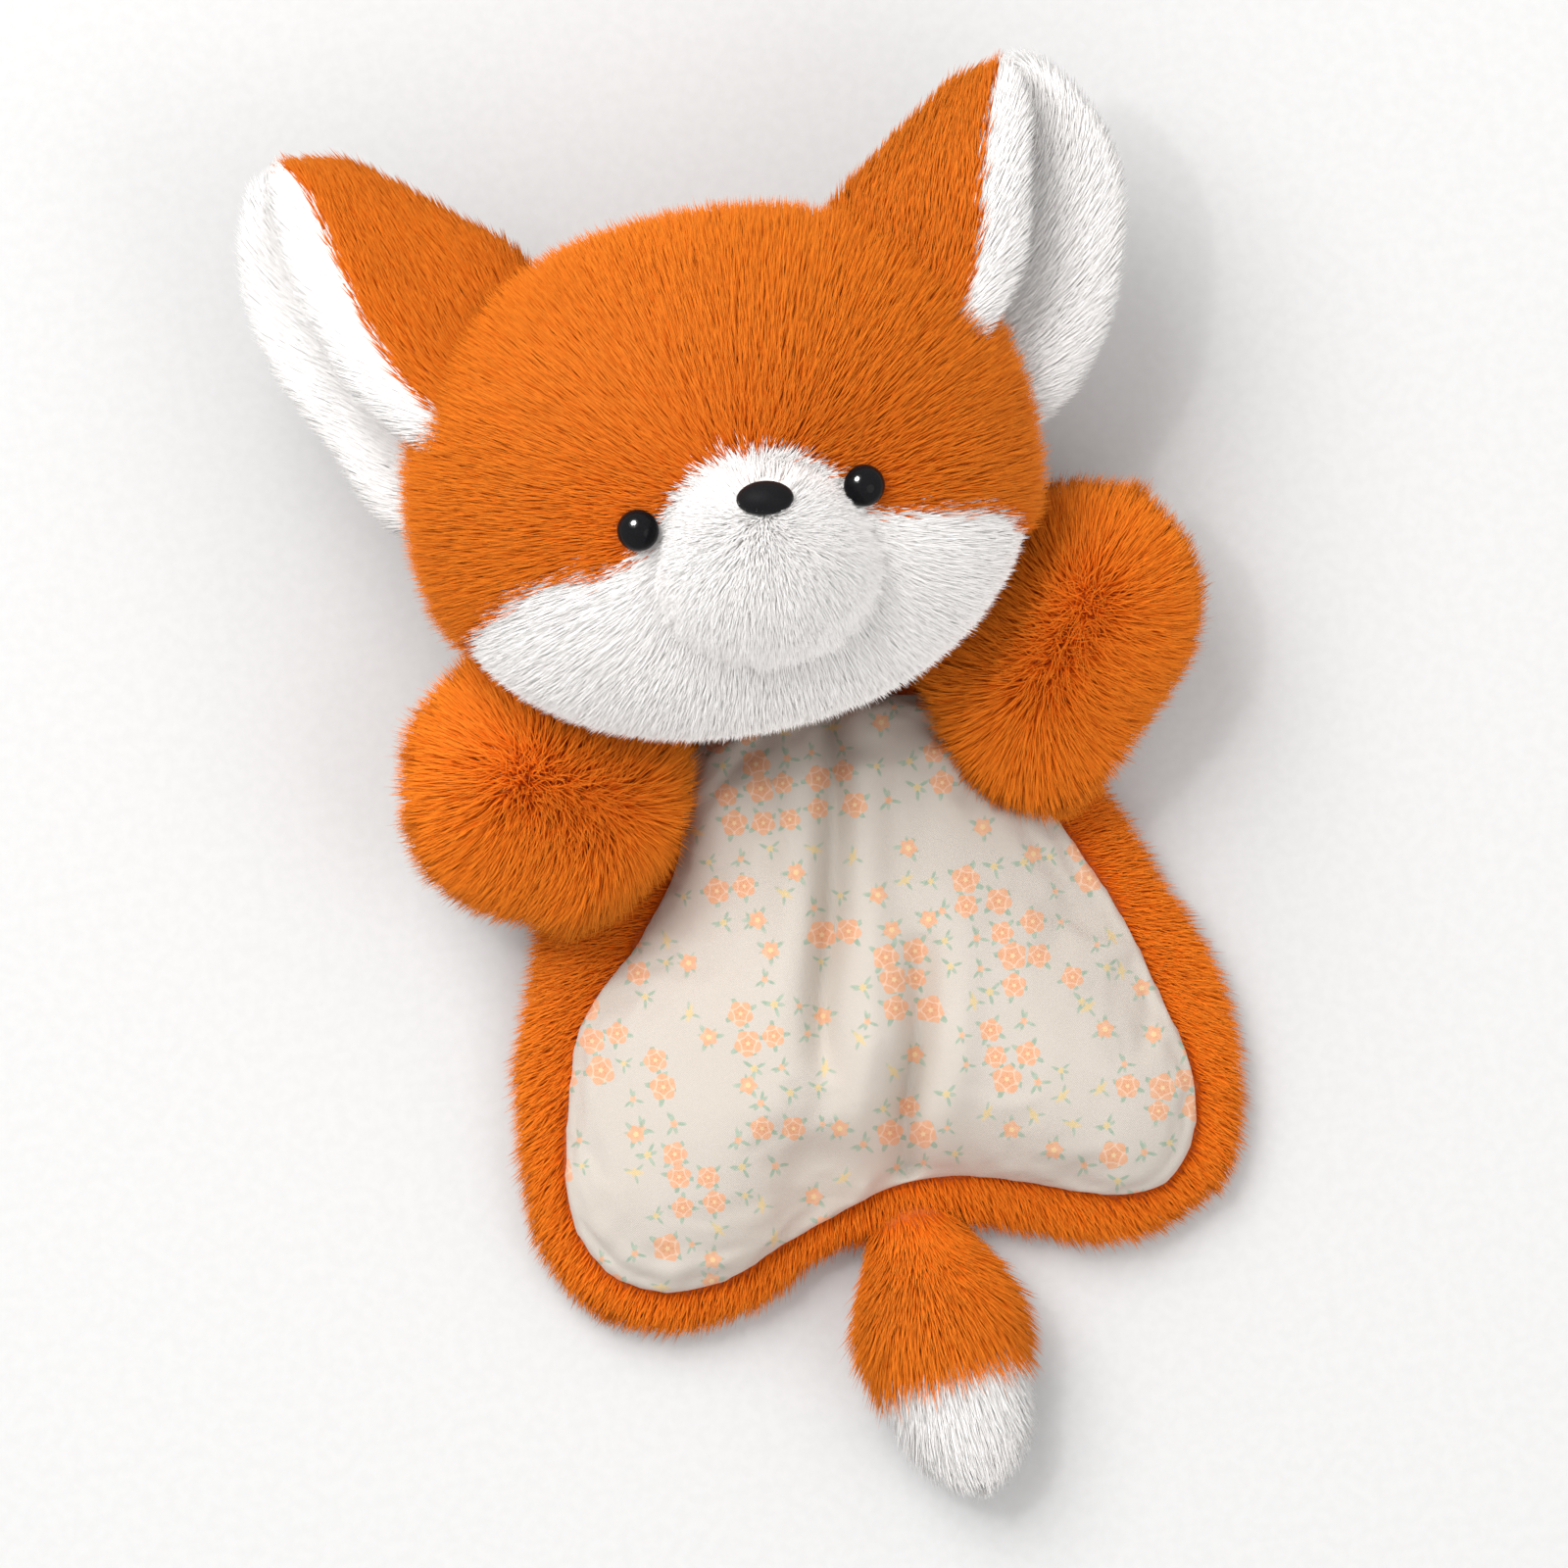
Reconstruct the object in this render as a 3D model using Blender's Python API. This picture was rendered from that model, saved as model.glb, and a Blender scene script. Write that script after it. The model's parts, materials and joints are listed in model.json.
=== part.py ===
"""Stuffed plush fox, lying on its back with its face up.

Metres, +Z out of the face, +Y towards the head, +X to the fox's own left.
The origin lies on the flat of the back, under the middle of the body.
"""

import math

import bmesh
import bpy
from mathutils import Matrix, Vector

for old in list(bpy.data.objects):
    bpy.data.objects.remove(old, do_unlink=True)

# Cloth and clearances
PLUSH_THICKNESS = 0.0050
COTTON_THICKNESS = 0.0012
EAR_PLUSH_THICKNESS = 0.0036
EAR_LINING_THICKNESS = 0.0024
SEAM_GAP = 0.0004
SEAT_GAP = 0.0005
REST_GAP = 0.0015
PRESS_ROOM = 0.0050
FILLING_GAP = 0.0010
FLAT_DEPTH = 0.0005
CUT_BLOCK = 0.3000
CUT_OVERRUN = 0.0200
NORMAL_STEP = 0.0005

# Head, an oval cushion whose widest level lies above the middle
HEAD_CENTRE_X = -0.0060
HEAD_CENTRE_Y = 0.1090
HEAD_HALF_WIDTH = 0.0650
HEAD_HALF_HEIGHT = 0.0545
HEAD_EQUATOR = 0.0540
HEAD_FRONT_DEPTH = 0.0390
HEAD_SQUARENESS = 2.2
CHEEK_BACK_LEVEL = 0.0300

# White crescent on the face, in shares of the head's half width and half height
CHEEK_SHARES = (
    (-0.83, -0.40), (-0.74, -0.33), (-0.63, -0.27), (-0.50, -0.25), (-0.39, -0.27), (-0.24, -0.22),
    (0.47, -0.25), (0.58, -0.27), (0.69, -0.29), (0.80, -0.33), (0.89, -0.43),
    (1.04, -0.70), (0.72, -1.20), (0.00, -1.40), (-0.60, -1.20), (-0.95, -0.75),
)

# Muzzle
MUZZLE_X = 0.0055
MUZZLE_Y = -0.0190
MUZZLE_HALF_WIDTH = 0.0245
MUZZLE_HALF_HEIGHT = 0.0220
MUZZLE_DEPTH = 0.0250
MUZZLE_STEP = 0.0300

# Eyes and nose, placed from the head's centre
EYE_SPACING = 0.0474
EYE_X = 0.0046
EYE_Y = -0.0079
EYE_DIAMETER = 0.0086
EYE_DOME = 0.0036
EYE_SINK = 0.0022
NOSE_WIDTH = 0.0116
NOSE_HEIGHT = 0.0078
NOSE_DOME = 0.0034
NOSE_SINK = 0.0016
NOSE_X = 0.0022
NOSE_Y = 0.0132
SHANK_DIAMETER = 0.0034
SHANK_LENGTH = 0.0140
BEAD_EDGE = 0.0008
WASHER_DIAMETER = 0.0110
WASHER_THICKNESS = 0.0015
WASHER_DROP = 0.0014

# Body, a flat bag with a rolled border round the cotton panel
BODY_CENTRE_Y = 0.0030
BODY_HALF_WIDTH = 0.0750
BODY_HALF_LENGTH = 0.0630
BODY_CROWN = 0.0330
BORDER_HEIGHT = 0.0120
BORDER_ROLL = 0.0100
TRAY_WALL = 0.0030

# Outlines seen from the front, in shares of the body's half width and half length
BODY_SHARES = (
    (0.04, -0.84), (0.21, -0.86), (0.35, -0.91), (0.51, -0.98), (0.67, -0.99), (0.82, -0.94),
    (0.93, -0.83), (0.98, -0.65), (1.00, -0.42), (0.99, -0.21), (0.94, -0.03), (0.88, 0.13),
    (0.83, 0.30), (0.77, 0.46), (0.68, 0.57), (0.59, 0.70), (0.49, 0.83), (0.34, 0.95),
    (0.00, 1.00), (-0.33, 0.94), (-0.44, 0.80), (-0.54, 0.64), (-0.68, 0.50), (-0.81, 0.38),
    (-0.85, 0.24), (-0.90, 0.10), (-0.95, -0.06), (-0.98, -0.27), (-1.00, -0.54), (-0.98, -0.70),
    (-0.92, -0.85), (-0.81, -0.96), (-0.67, -1.01), (-0.53, -1.00), (-0.40, -0.96), (-0.29, -0.90),
    (-0.16, -0.86),
)
PANEL_SHARES = (
    (0.06, -0.69), (0.20, -0.71), (0.34, -0.76), (0.47, -0.82), (0.57, -0.86), (0.66, -0.88),
    (0.75, -0.86), (0.83, -0.76), (0.87, -0.62), (0.87, -0.45), (0.83, -0.25), (0.79, -0.05),
    (0.74, 0.13), (0.67, 0.32), (0.60, 0.51), (0.54, 0.66), (0.48, 0.80), (0.36, 0.88),
    (0.00, 0.92), (-0.26, 0.88), (-0.34, 0.79), (-0.38, 0.60), (-0.44, 0.44), (-0.58, 0.24),
    (-0.69, 0.13), (-0.78, 0.00), (-0.82, -0.14), (-0.86, -0.30), (-0.89, -0.48), (-0.89, -0.60),
    (-0.86, -0.73), (-0.79, -0.83), (-0.69, -0.89), (-0.58, -0.90), (-0.46, -0.88), (-0.35, -0.82),
    (-0.19, -0.76), (-0.05, -0.71),
)
# Rise of the panel from its seam to its crown: share of the way in, share of the rise
PANEL_RISE_SHARES = (
    (1.00, 0.00), (0.93, 0.28), (0.80, 0.58), (0.68, 0.75), (0.56, 0.86), (0.44, 0.92), (0.32, 0.96),
    (0.20, 0.98), (0.10, 0.99),
)
# Soft folds that run down the panel, in shares of the body's half width and half length
FOLD_DEPTH = 0.0050
FOLD_HALF_WIDTH = 0.0046
FOLD_SHARES = (
    ((0.07, 0.84), (0.00, 0.35), (-0.09, -0.05), (-0.13, -0.30)),
    ((0.21, 0.13), (0.14, -0.24), (0.05, -0.52), (0.02, -0.71)),
)

# Neck, a ball of stuffing that the head rolls on
NECK_OVERLAP = 0.0055
NECK_LEVEL = 0.0220
NECK_BALL = 0.0165
NECK_SLOPE_DEG = 45.0
HEAD_TURN_DEG = 8.0
HEAD_NOD_BACK_DEG = 6.0
HEAD_NOD_FORWARD_DEG = 10.0

# Arms, mittens with a ball of stuffing in the shoulder seam
SHOULDER_LEVEL = 0.0220
SHOULDER_BALL = 0.0150
ARM_LEFT_X = 0.0420
ARM_LEFT_Y = 0.0450
ARM_LEFT_DEG = 52.0
ARM_LEFT_LENGTH = 0.0570
ARM_LEFT_HALF_WIDTH = 0.0215
ARM_LEFT_HALF_DEPTH = 0.0165
ARM_RIGHT_X = -0.0310
ARM_RIGHT_Y = 0.0405
ARM_RIGHT_DEG = 147.0
ARM_RIGHT_LENGTH = 0.0560
ARM_RIGHT_HALF_WIDTH = 0.0275
ARM_RIGHT_HALF_DEPTH = 0.0155
ARM_LIFT_DEG = 10.0
# Along the arm, half width and half depth, as shares of its length, half width and half depth
MITTEN_SHARES = (
    (0.22, 0.66, 0.90), (0.33, 0.86, 0.98), (0.47, 0.98, 1.02), (0.62, 1.00, 1.00),
    (0.77, 0.90, 0.90), (0.89, 0.68, 0.70), (0.97, 0.38, 0.42),
)
# Lean from the limb's line of each ring round its ball
BALL_LEANS = (125.0, 100.0, 75.0, 55.0)

# Tail
TAIL_X = 0.0020
TAIL_Y = -0.0465
TAIL_BALL = 0.0120
TAIL_DEG = 274.0
TAIL_LENGTH = 0.0590
TAIL_HALF_WIDTH = 0.0178
TAIL_HALF_DEPTH = 0.0135
TAIL_TIP_HALF_WIDTH = 0.0145
TAIL_TIP_HALF_DEPTH = 0.0120
TAIL_BRUSH_SHARES = ((0.22, 0.76, 0.92), (0.34, 0.92, 1.00), (0.45, 1.00, 1.00), (0.53, 0.97, 0.97))
TAIL_TIP_SHARES = ((0.55, 1.00, 1.00), (0.68, 0.97, 0.98), (0.82, 0.84, 0.88), (0.93, 0.58, 0.64))

# Ears, cups that open sideways: shares of the ear's reach and rise from the head's centre
EAR_REACH = 0.0850
EAR_HEIGHT = 0.0800
EAR_TIP_STEP = -0.0020
EAR_FRONT_STEP = 0.0120
EAR_FOLD_STEP = -0.0040
EAR_SIDE_STEP = -0.0100
EAR_BACK_BULGE = 0.0080
EAR_FLAP_DEG = 8.0
EAR_TIP_SHARE = 0.4
EAR_OPENING_SHARE = 1.6
# Rows from tip to root: fold x, fold y, front rim x, front rim y, side rim x, side rim y
EAR_RIGHT_SHARES = (
    (0.84, 0.97, 0.87, 0.97, 0.90, 0.97),
    (0.74, 0.94, 0.83, 0.90, 0.96, 0.91),
    (0.63, 0.85, 0.80, 0.77, 1.00, 0.78),
    (0.53, 0.76, 0.77, 0.64, 1.00, 0.62),
    (0.42, 0.66, 0.73, 0.50, 0.96, 0.46),
    (0.35, 0.54, 0.67, 0.36, 0.87, 0.26),
    (0.28, 0.42, 0.58, 0.24, 0.78, 0.06),
    (0.20, 0.30, 0.48, 0.14, 0.62, -0.04),
)
EAR_LEFT_SHARES = (
    (0.80, 0.86, 0.83, 0.86, 0.87, 0.86),
    (0.73, 0.84, 0.80, 0.79, 0.94, 0.85),
    (0.62, 0.76, 0.76, 0.69, 1.02, 0.72),
    (0.52, 0.68, 0.73, 0.58, 1.05, 0.56),
    (0.43, 0.61, 0.70, 0.46, 1.02, 0.38),
    (0.35, 0.50, 0.65, 0.34, 0.95, 0.20),
    (0.28, 0.40, 0.56, 0.22, 0.82, 0.04),
    (0.20, 0.28, 0.46, 0.12, 0.64, -0.04),
)

# Facets of the faceted forms
HEAD_SIDES = 28
HEAD_RINGS = 5
BODY_SIDES = 36
LIMB_SIDES = 16
BALL_SIDES = 24
BALL_RINGS = 10
BEAD_SIDES = 14
OUTLINE_STEPS = 6
EAR_STEPS = 6
DOME_STEPS = 4

# Roughness and colours
CLOTH_ROUGHNESS = 0.9
WASHER_ROUGHNESS = 0.4
BEAD_ROUGHNESS = 0.1
ORANGE = (0.72, 0.17, 0.02, 1.0)
WHITE = (0.87, 0.83, 0.80, 1.0)
CREAM = (0.84, 0.76, 0.68, 1.0)
BLACK = (0.01, 0.01, 0.01, 1.0)
FIBRE = (0.80, 0.80, 0.78, 1.0)
CLEAR_PLASTIC = (0.60, 0.60, 0.60, 1.0)


def finish(name, colour, roughness):
    """Principled material of one sub-part."""
    material = bpy.data.materials.new(name)
    material.use_nodes = True
    shader = material.node_tree.nodes["Principled BSDF"]
    shader.inputs["Base Color"].default_value = colour
    shader.inputs["Roughness"].default_value = roughness
    shader.inputs["Metallic"].default_value = 0.0
    return material


def mesh_object(name, points, faces, colour=FIBRE, roughness=CLOTH_ROUGHNESS, pivot=Vector((0.0, 0.0, 0.0))):
    """Closed, triangulated object with its origin at the pivot."""
    mesh = bpy.data.meshes.new(name)
    mesh.from_pydata([Vector(point) - pivot for point in points], [], faces)
    bm = bmesh.new()
    bm.from_mesh(mesh)
    bmesh.ops.triangulate(bm, faces=bm.faces[:])
    bmesh.ops.recalc_face_normals(bm, faces=bm.faces[:])
    bm.to_mesh(mesh)
    bm.free()
    mesh.shade_smooth()
    item = bpy.data.objects.new(name, mesh)
    item.location = pivot
    bpy.context.scene.collection.objects.link(item)
    mesh.materials.append(finish(name, colour, roughness))
    return item


def skin(name, rings, start=None, end=None, wrap=False, **looks):
    """Surface through rings of equal count, closed by end points or back to the first ring."""
    count = len(rings[0])
    points = [point for ring in rings for point in ring]
    faces = []
    for low in range(len(rings) if wrap else len(rings) - 1):
        high = (low + 1) % len(rings)
        for side in range(count):
            nxt = (side + 1) % count
            faces.append((low * count + side, low * count + nxt, high * count + nxt, high * count + side))
    for pole, ring in ((start, 0), (end, len(rings) - 1)):
        if pole is not None:
            points.append(pole)
            faces += [
                (len(points) - 1, ring * count + side, ring * count + (side + 1) % count)
                for side in range(count)
            ]
    return mesh_object(name, points, faces, **looks)


def as_cutter(item):
    """Guide shape that only cuts others."""
    item.hide_render = True
    item.display_type = "WIRE"
    return item


def cut(item, cutter, operation="DIFFERENCE"):
    """Boolean of one closed form with another."""
    boolean = item.modifiers.new(cutter.name, "BOOLEAN")
    boolean.object = cutter
    boolean.operation = operation
    boolean.solver = "EXACT"


def smooth_loop(shares, scale_x, scale_y):
    """Closed smooth curve through outline shares."""
    knots = [Vector((x * scale_x, y * scale_y)) for x, y in shares]
    loop = []
    for index, here in enumerate(knots):
        before = knots[index - 1]
        after = knots[(index + 1) % len(knots)]
        beyond = knots[(index + 2) % len(knots)]
        for step in range(OUTLINE_STEPS):
            t = step / OUTLINE_STEPS
            loop.append(
                here
                + (after - before) * (t / 2)
                + (2 * before - 5 * here + 4 * after - beyond) * (t * t / 2)
                + (3 * here - before - 3 * after + beyond) * (t * t * t / 2)
            )
    return loop


def reach(loop, angle):
    """Distance from the middle of a loop to its edge in one direction."""
    ray = Vector((math.cos(angle), math.sin(angle)))
    best = 0.0
    for index, here in enumerate(loop):
        edge = loop[(index + 1) % len(loop)] - here
        cross = ray.x * edge.y - ray.y * edge.x
        if cross == 0.0:
            continue
        along = (here.x * edge.y - here.y * edge.x) / cross
        share = (here.x * ray.y - here.y * ray.x) / cross
        if along > best and 0.0 <= share <= 1.0:
            best = along
    return best


def ring_at(centre_x, centre_y, angles, radii, level):
    """Level ring whose radius changes with the angle."""
    return [
        Vector((centre_x + radius * math.cos(angle), centre_y + radius * math.sin(angle), level))
        for angle, radius in zip(angles, radii)
    ]


def ball(name, centre, radius, **looks):
    """Faceted ball."""
    angles = [math.tau * side / BALL_SIDES for side in range(BALL_SIDES)]
    rings = []
    for row in range(1, BALL_RINGS):
        lean = math.pi * row / BALL_RINGS
        size = [radius * math.sin(lean)] * BALL_SIDES
        rings.append(ring_at(centre.x, centre.y, angles, size, centre.z + radius * math.cos(lean)))
    top = centre + Vector((0.0, 0.0, radius))
    bottom = centre - Vector((0.0, 0.0, radius))
    return skin(name, rings, top, bottom, **looks)


def seat_room(name, centre, radius):
    """Room for a ball of stuffing to turn in."""
    return as_cutter(ball(name, centre, radius + SEAT_GAP))


def half_space(name, point, normal):
    """Block whose near face lies at a point and which fills the side that the normal shows."""
    half = CUT_BLOCK / 2
    turn = normal.to_track_quat("Z", "Y").to_matrix()
    corners = [
        point + turn @ Vector((x * half, y * half, z * CUT_BLOCK))
        for z in (0, 1)
        for x, y in ((-1, -1), (1, -1), (1, 1), (-1, 1))
    ]
    faces = [(0, 1, 2, 3), (4, 5, 6, 7), (0, 1, 5, 4), (1, 2, 6, 5), (2, 3, 7, 6), (3, 0, 4, 7)]
    return as_cutter(mesh_object(name, corners, faces))


def head_radius(angle, inset):
    """Half size of the head's oval in one direction of the front view."""
    wide = abs(math.cos(angle)) / (HEAD_HALF_WIDTH - inset)
    tall = abs(math.sin(angle)) / (HEAD_HALF_HEIGHT - inset)
    return (wide**HEAD_SQUARENESS + tall**HEAD_SQUARENESS) ** (-1.0 / HEAD_SQUARENESS)


def head_form(name, inset, **looks):
    """Head grown or shrunk by an inset, cut flat where it rests."""
    angles = [math.tau * side / HEAD_SIDES for side in range(HEAD_SIDES)]
    radii = [head_radius(angle, inset) for angle in angles]
    front = HEAD_FRONT_DEPTH - inset
    back = HEAD_EQUATOR + FLAT_DEPTH - inset
    lowest = max(inset, -SEAM_GAP)
    rings = []
    for row in range(1, 2 * HEAD_RINGS):
        lean = math.pi / 2 * row / HEAD_RINGS
        depth = front if row < HEAD_RINGS else back
        level = HEAD_EQUATOR + depth * math.cos(lean)
        rings.append(
            ring_at(
                HEAD_CENTRE_X, HEAD_CENTRE_Y, angles, [r * math.sin(lean) for r in radii], max(level, lowest)
            )
        )
    end_lean = math.acos(min(1.0, (HEAD_EQUATOR - lowest) / back))
    rings.append(
        ring_at(HEAD_CENTRE_X, HEAD_CENTRE_Y, angles, [r * math.sin(end_lean) for r in radii], lowest)
    )
    top = Vector((HEAD_CENTRE_X, HEAD_CENTRE_Y, HEAD_EQUATOR + front))
    bottom = Vector((HEAD_CENTRE_X, HEAD_CENTRE_Y, lowest))
    return skin(name, rings, top, bottom, **looks)


def head_front(x, y, inset=0.0):
    """Level of the head's front surface at a place of the front view."""
    across = x - HEAD_CENTRE_X
    along = y - HEAD_CENTRE_Y
    share = math.hypot(across, along) / head_radius(math.atan2(along, across), inset)
    return HEAD_EQUATOR + (HEAD_FRONT_DEPTH - inset) * math.sqrt(max(0.0, 1.0 - share * share))


def muzzle_front(x, y):
    """Level of the muzzle's surface at a place of the front view."""
    across = (x - HEAD_CENTRE_X - MUZZLE_X) / MUZZLE_HALF_WIDTH
    along = (y - HEAD_CENTRE_Y - MUZZLE_Y) / MUZZLE_HALF_HEIGHT
    dome = MUZZLE_DEPTH * math.sqrt(max(0.0, 1.0 - across * across - along * along))
    return HEAD_EQUATOR + MUZZLE_STEP + dome


def seat_on(surface, x, y):
    """Point on a surface and its outward direction."""
    slope_x = (surface(x + NORMAL_STEP, y) - surface(x - NORMAL_STEP, y)) / (2 * NORMAL_STEP)
    slope_y = (surface(x, y + NORMAL_STEP) - surface(x, y - NORMAL_STEP)) / (2 * NORMAL_STEP)
    return Vector((x, y, surface(x, y))), Vector((-slope_x, -slope_y, 1.0)).normalized()


def neck_pivot():
    """Middle of the neck's ball."""
    return Vector((0.0, HEAD_CENTRE_Y - HEAD_HALF_HEIGHT + NECK_OVERLAP, NECK_LEVEL))


def head_clear(normal):
    """Furthest that a flat side facing the head may stand, over every turn and nod of the head."""
    dual = HEAD_SQUARENESS / (HEAD_SQUARENESS - 1.0)
    centre = Vector((HEAD_CENTRE_X, HEAD_CENTRE_Y, HEAD_EQUATOR)) - neck_pivot()
    lowest = []
    for turn in (-HEAD_TURN_DEG, 0.0, HEAD_TURN_DEG):
        for nod in (-HEAD_NOD_BACK_DEG, 0.0, HEAD_NOD_FORWARD_DEG):
            pose = Matrix.Rotation(math.radians(turn), 3, "Y") @ Matrix.Rotation(math.radians(nod), 3, "X")
            n = pose.transposed() @ normal
            depth = HEAD_EQUATOR + FLAT_DEPTH if n.z > 0.0 else HEAD_FRONT_DEPTH
            oval = (abs(n.x) * HEAD_HALF_WIDTH) ** dual + (abs(n.y) * HEAD_HALF_HEIGHT) ** dual
            lowest.append(n.dot(centre) - math.hypot(oval ** (1.0 / dual), n.z * depth))
    return min(lowest) - SEAM_GAP


def prism(name, outline, bottom, top):
    """Upright prism on an outline."""
    count = len(outline)
    points = [Vector((p.x, p.y, bottom)) for p in outline] + [Vector((p.x, p.y, top)) for p in outline]
    faces = [tuple(range(count)), tuple(range(count, 2 * count))]
    for side in range(count):
        nxt = (side + 1) % count
        faces.append((side, nxt, count + nxt, count + side))
    return as_cutter(mesh_object(name, points, faces))


def cheek_outline(gap):
    """Crescent outline, grown by a gap on its upper edge."""
    middle = Vector((HEAD_CENTRE_X, HEAD_CENTRE_Y))
    points = []
    for x, y in CHEEK_SHARES:
        point = Vector((x * HEAD_HALF_WIDTH, y * HEAD_HALF_HEIGHT + gap))
        point.x += math.copysign(gap, point.x)
        points.append(middle + point)
    return points


def muzzle_form(name, inset, **looks):
    """Muzzle's dome as a closed oval."""
    centre_x = HEAD_CENTRE_X + MUZZLE_X
    centre_y = HEAD_CENTRE_Y + MUZZLE_Y
    level = HEAD_EQUATOR + MUZZLE_STEP
    angles = [math.tau * side / BALL_SIDES for side in range(BALL_SIDES)]
    rings = []
    for row in range(1, BALL_RINGS):
        lean = math.pi * row / BALL_RINGS
        rings.append([
            Vector((
                centre_x + (MUZZLE_HALF_WIDTH - inset) * math.sin(lean) * math.cos(angle),
                centre_y + (MUZZLE_HALF_HEIGHT - inset) * math.sin(lean) * math.sin(angle),
                level + (MUZZLE_DEPTH - inset) * math.cos(lean),
            ))
            for angle in angles
        ])
    top = Vector((centre_x, centre_y, level + MUZZLE_DEPTH - inset))
    bottom = Vector((centre_x, centre_y, level - MUZZLE_DEPTH + inset))
    return skin(name, rings, top, bottom, **looks)


def turned(name, seat, profile, squash=1.0, **looks):
    """Turned piece: profile of (radius, height) from its top to its foot, along the seat's direction."""
    point, direction = seat
    turn = direction.to_track_quat("Z", "Y").to_matrix()
    angles = [math.tau * side / BEAD_SIDES for side in range(BEAD_SIDES)]
    rings = [
        [point + turn @ Vector((r * math.cos(a), r * squash * math.sin(a), h)) for a in angles]
        for r, h in profile[1:-1]
    ]
    start = point + direction * profile[0][1]
    end = point + direction * profile[-1][1]
    return skin(name, rings, start, end, **looks)


def bead_profile(half_width, dome, sink, grow=0.0):
    """Domed bead with a shank, sunk below the surface that it sits on."""
    shank = SHANK_DIAMETER / 2 + grow
    radius = half_width + grow
    profile = [(0.0, dome - sink + grow)]
    for step in range(1, DOME_STEPS + 1):
        lean = math.pi / 2 * step / DOME_STEPS
        profile.append((radius * math.sin(lean), (dome + grow) * math.cos(lean) - sink))
    profile.append((radius - BEAD_EDGE, -sink - BEAD_EDGE - grow))
    profile.append((shank, -sink - BEAD_EDGE - grow))
    profile.append((shank, -sink - SHANK_LENGTH - grow))
    profile.append((0.0, -sink - SHANK_LENGTH - grow))
    return profile


def washer_rings(seat, grow=0.0, open_top=0.0):
    """Rings of a locking washer, from its bore round to its rim."""
    point, direction = seat
    turn = direction.to_track_quat("Z", "Y").to_matrix()
    top = -PLUSH_THICKNESS - WASHER_DROP + grow + open_top
    bottom = -PLUSH_THICKNESS - WASHER_DROP - WASHER_THICKNESS - grow
    bore = SHANK_DIAMETER / 2 + SEAM_GAP
    rim = WASHER_DIAMETER / 2 + grow
    angles = [math.tau * side / BEAD_SIDES for side in range(BEAD_SIDES)]
    return [
        [point + turn @ Vector((r * math.cos(a), r * math.sin(a), h)) for a in angles]
        for r, h in ((bore, top), (rim, top), (rim, bottom), (bore, bottom))
    ]


def fasteners():
    """Seats of the eyes and the nose."""
    middle_x = HEAD_CENTRE_X + EYE_X
    level = HEAD_CENTRE_Y + EYE_Y
    muzzle_x = HEAD_CENTRE_X + MUZZLE_X
    muzzle_y = HEAD_CENTRE_Y + MUZZLE_Y
    return {
        "eye_left": seat_on(head_front, middle_x + EYE_SPACING / 2, level),
        "eye_right": seat_on(head_front, middle_x - EYE_SPACING / 2, level),
        "nose": seat_on(muzzle_front, muzzle_x + NOSE_X, muzzle_y + NOSE_Y),
    }


def build_fasteners(seats):
    """Beads with shanks, their washers, and the shapes that cut room for them."""
    cutters = {}
    for name, seat in seats.items():
        is_nose = name == "nose"
        half_width = NOSE_WIDTH / 2 if is_nose else EYE_DIAMETER / 2
        dome = NOSE_DOME if is_nose else EYE_DOME
        sink = NOSE_SINK if is_nose else EYE_SINK
        squash = NOSE_HEIGHT / NOSE_WIDTH if is_nose else 1.0
        bead = bead_profile(half_width, dome, sink)
        turned(name, seat, bead, squash, colour=BLACK, roughness=BEAD_ROUGHNESS)
        room = turned(name + "_room", seat, bead_profile(half_width, dome, sink, SEAM_GAP), squash)
        washer_name = "nose_washer" if is_nose else name.replace("eye", "eye_washer")
        skin(washer_name, washer_rings(seat), wrap=True, colour=CLEAR_PLASTIC, roughness=WASHER_ROUGHNESS)
        rings = washer_rings(seat, SEAM_GAP, PLUSH_THICKNESS)
        point, direction = seat
        middles = [sum(ring, Vector()) / len(ring) for ring in rings]
        recess = skin(washer_name + "_room", rings[1:3], middles[0], middles[3])
        cutters[name] = (as_cutter(room), as_cutter(recess))
    return cutters


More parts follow.
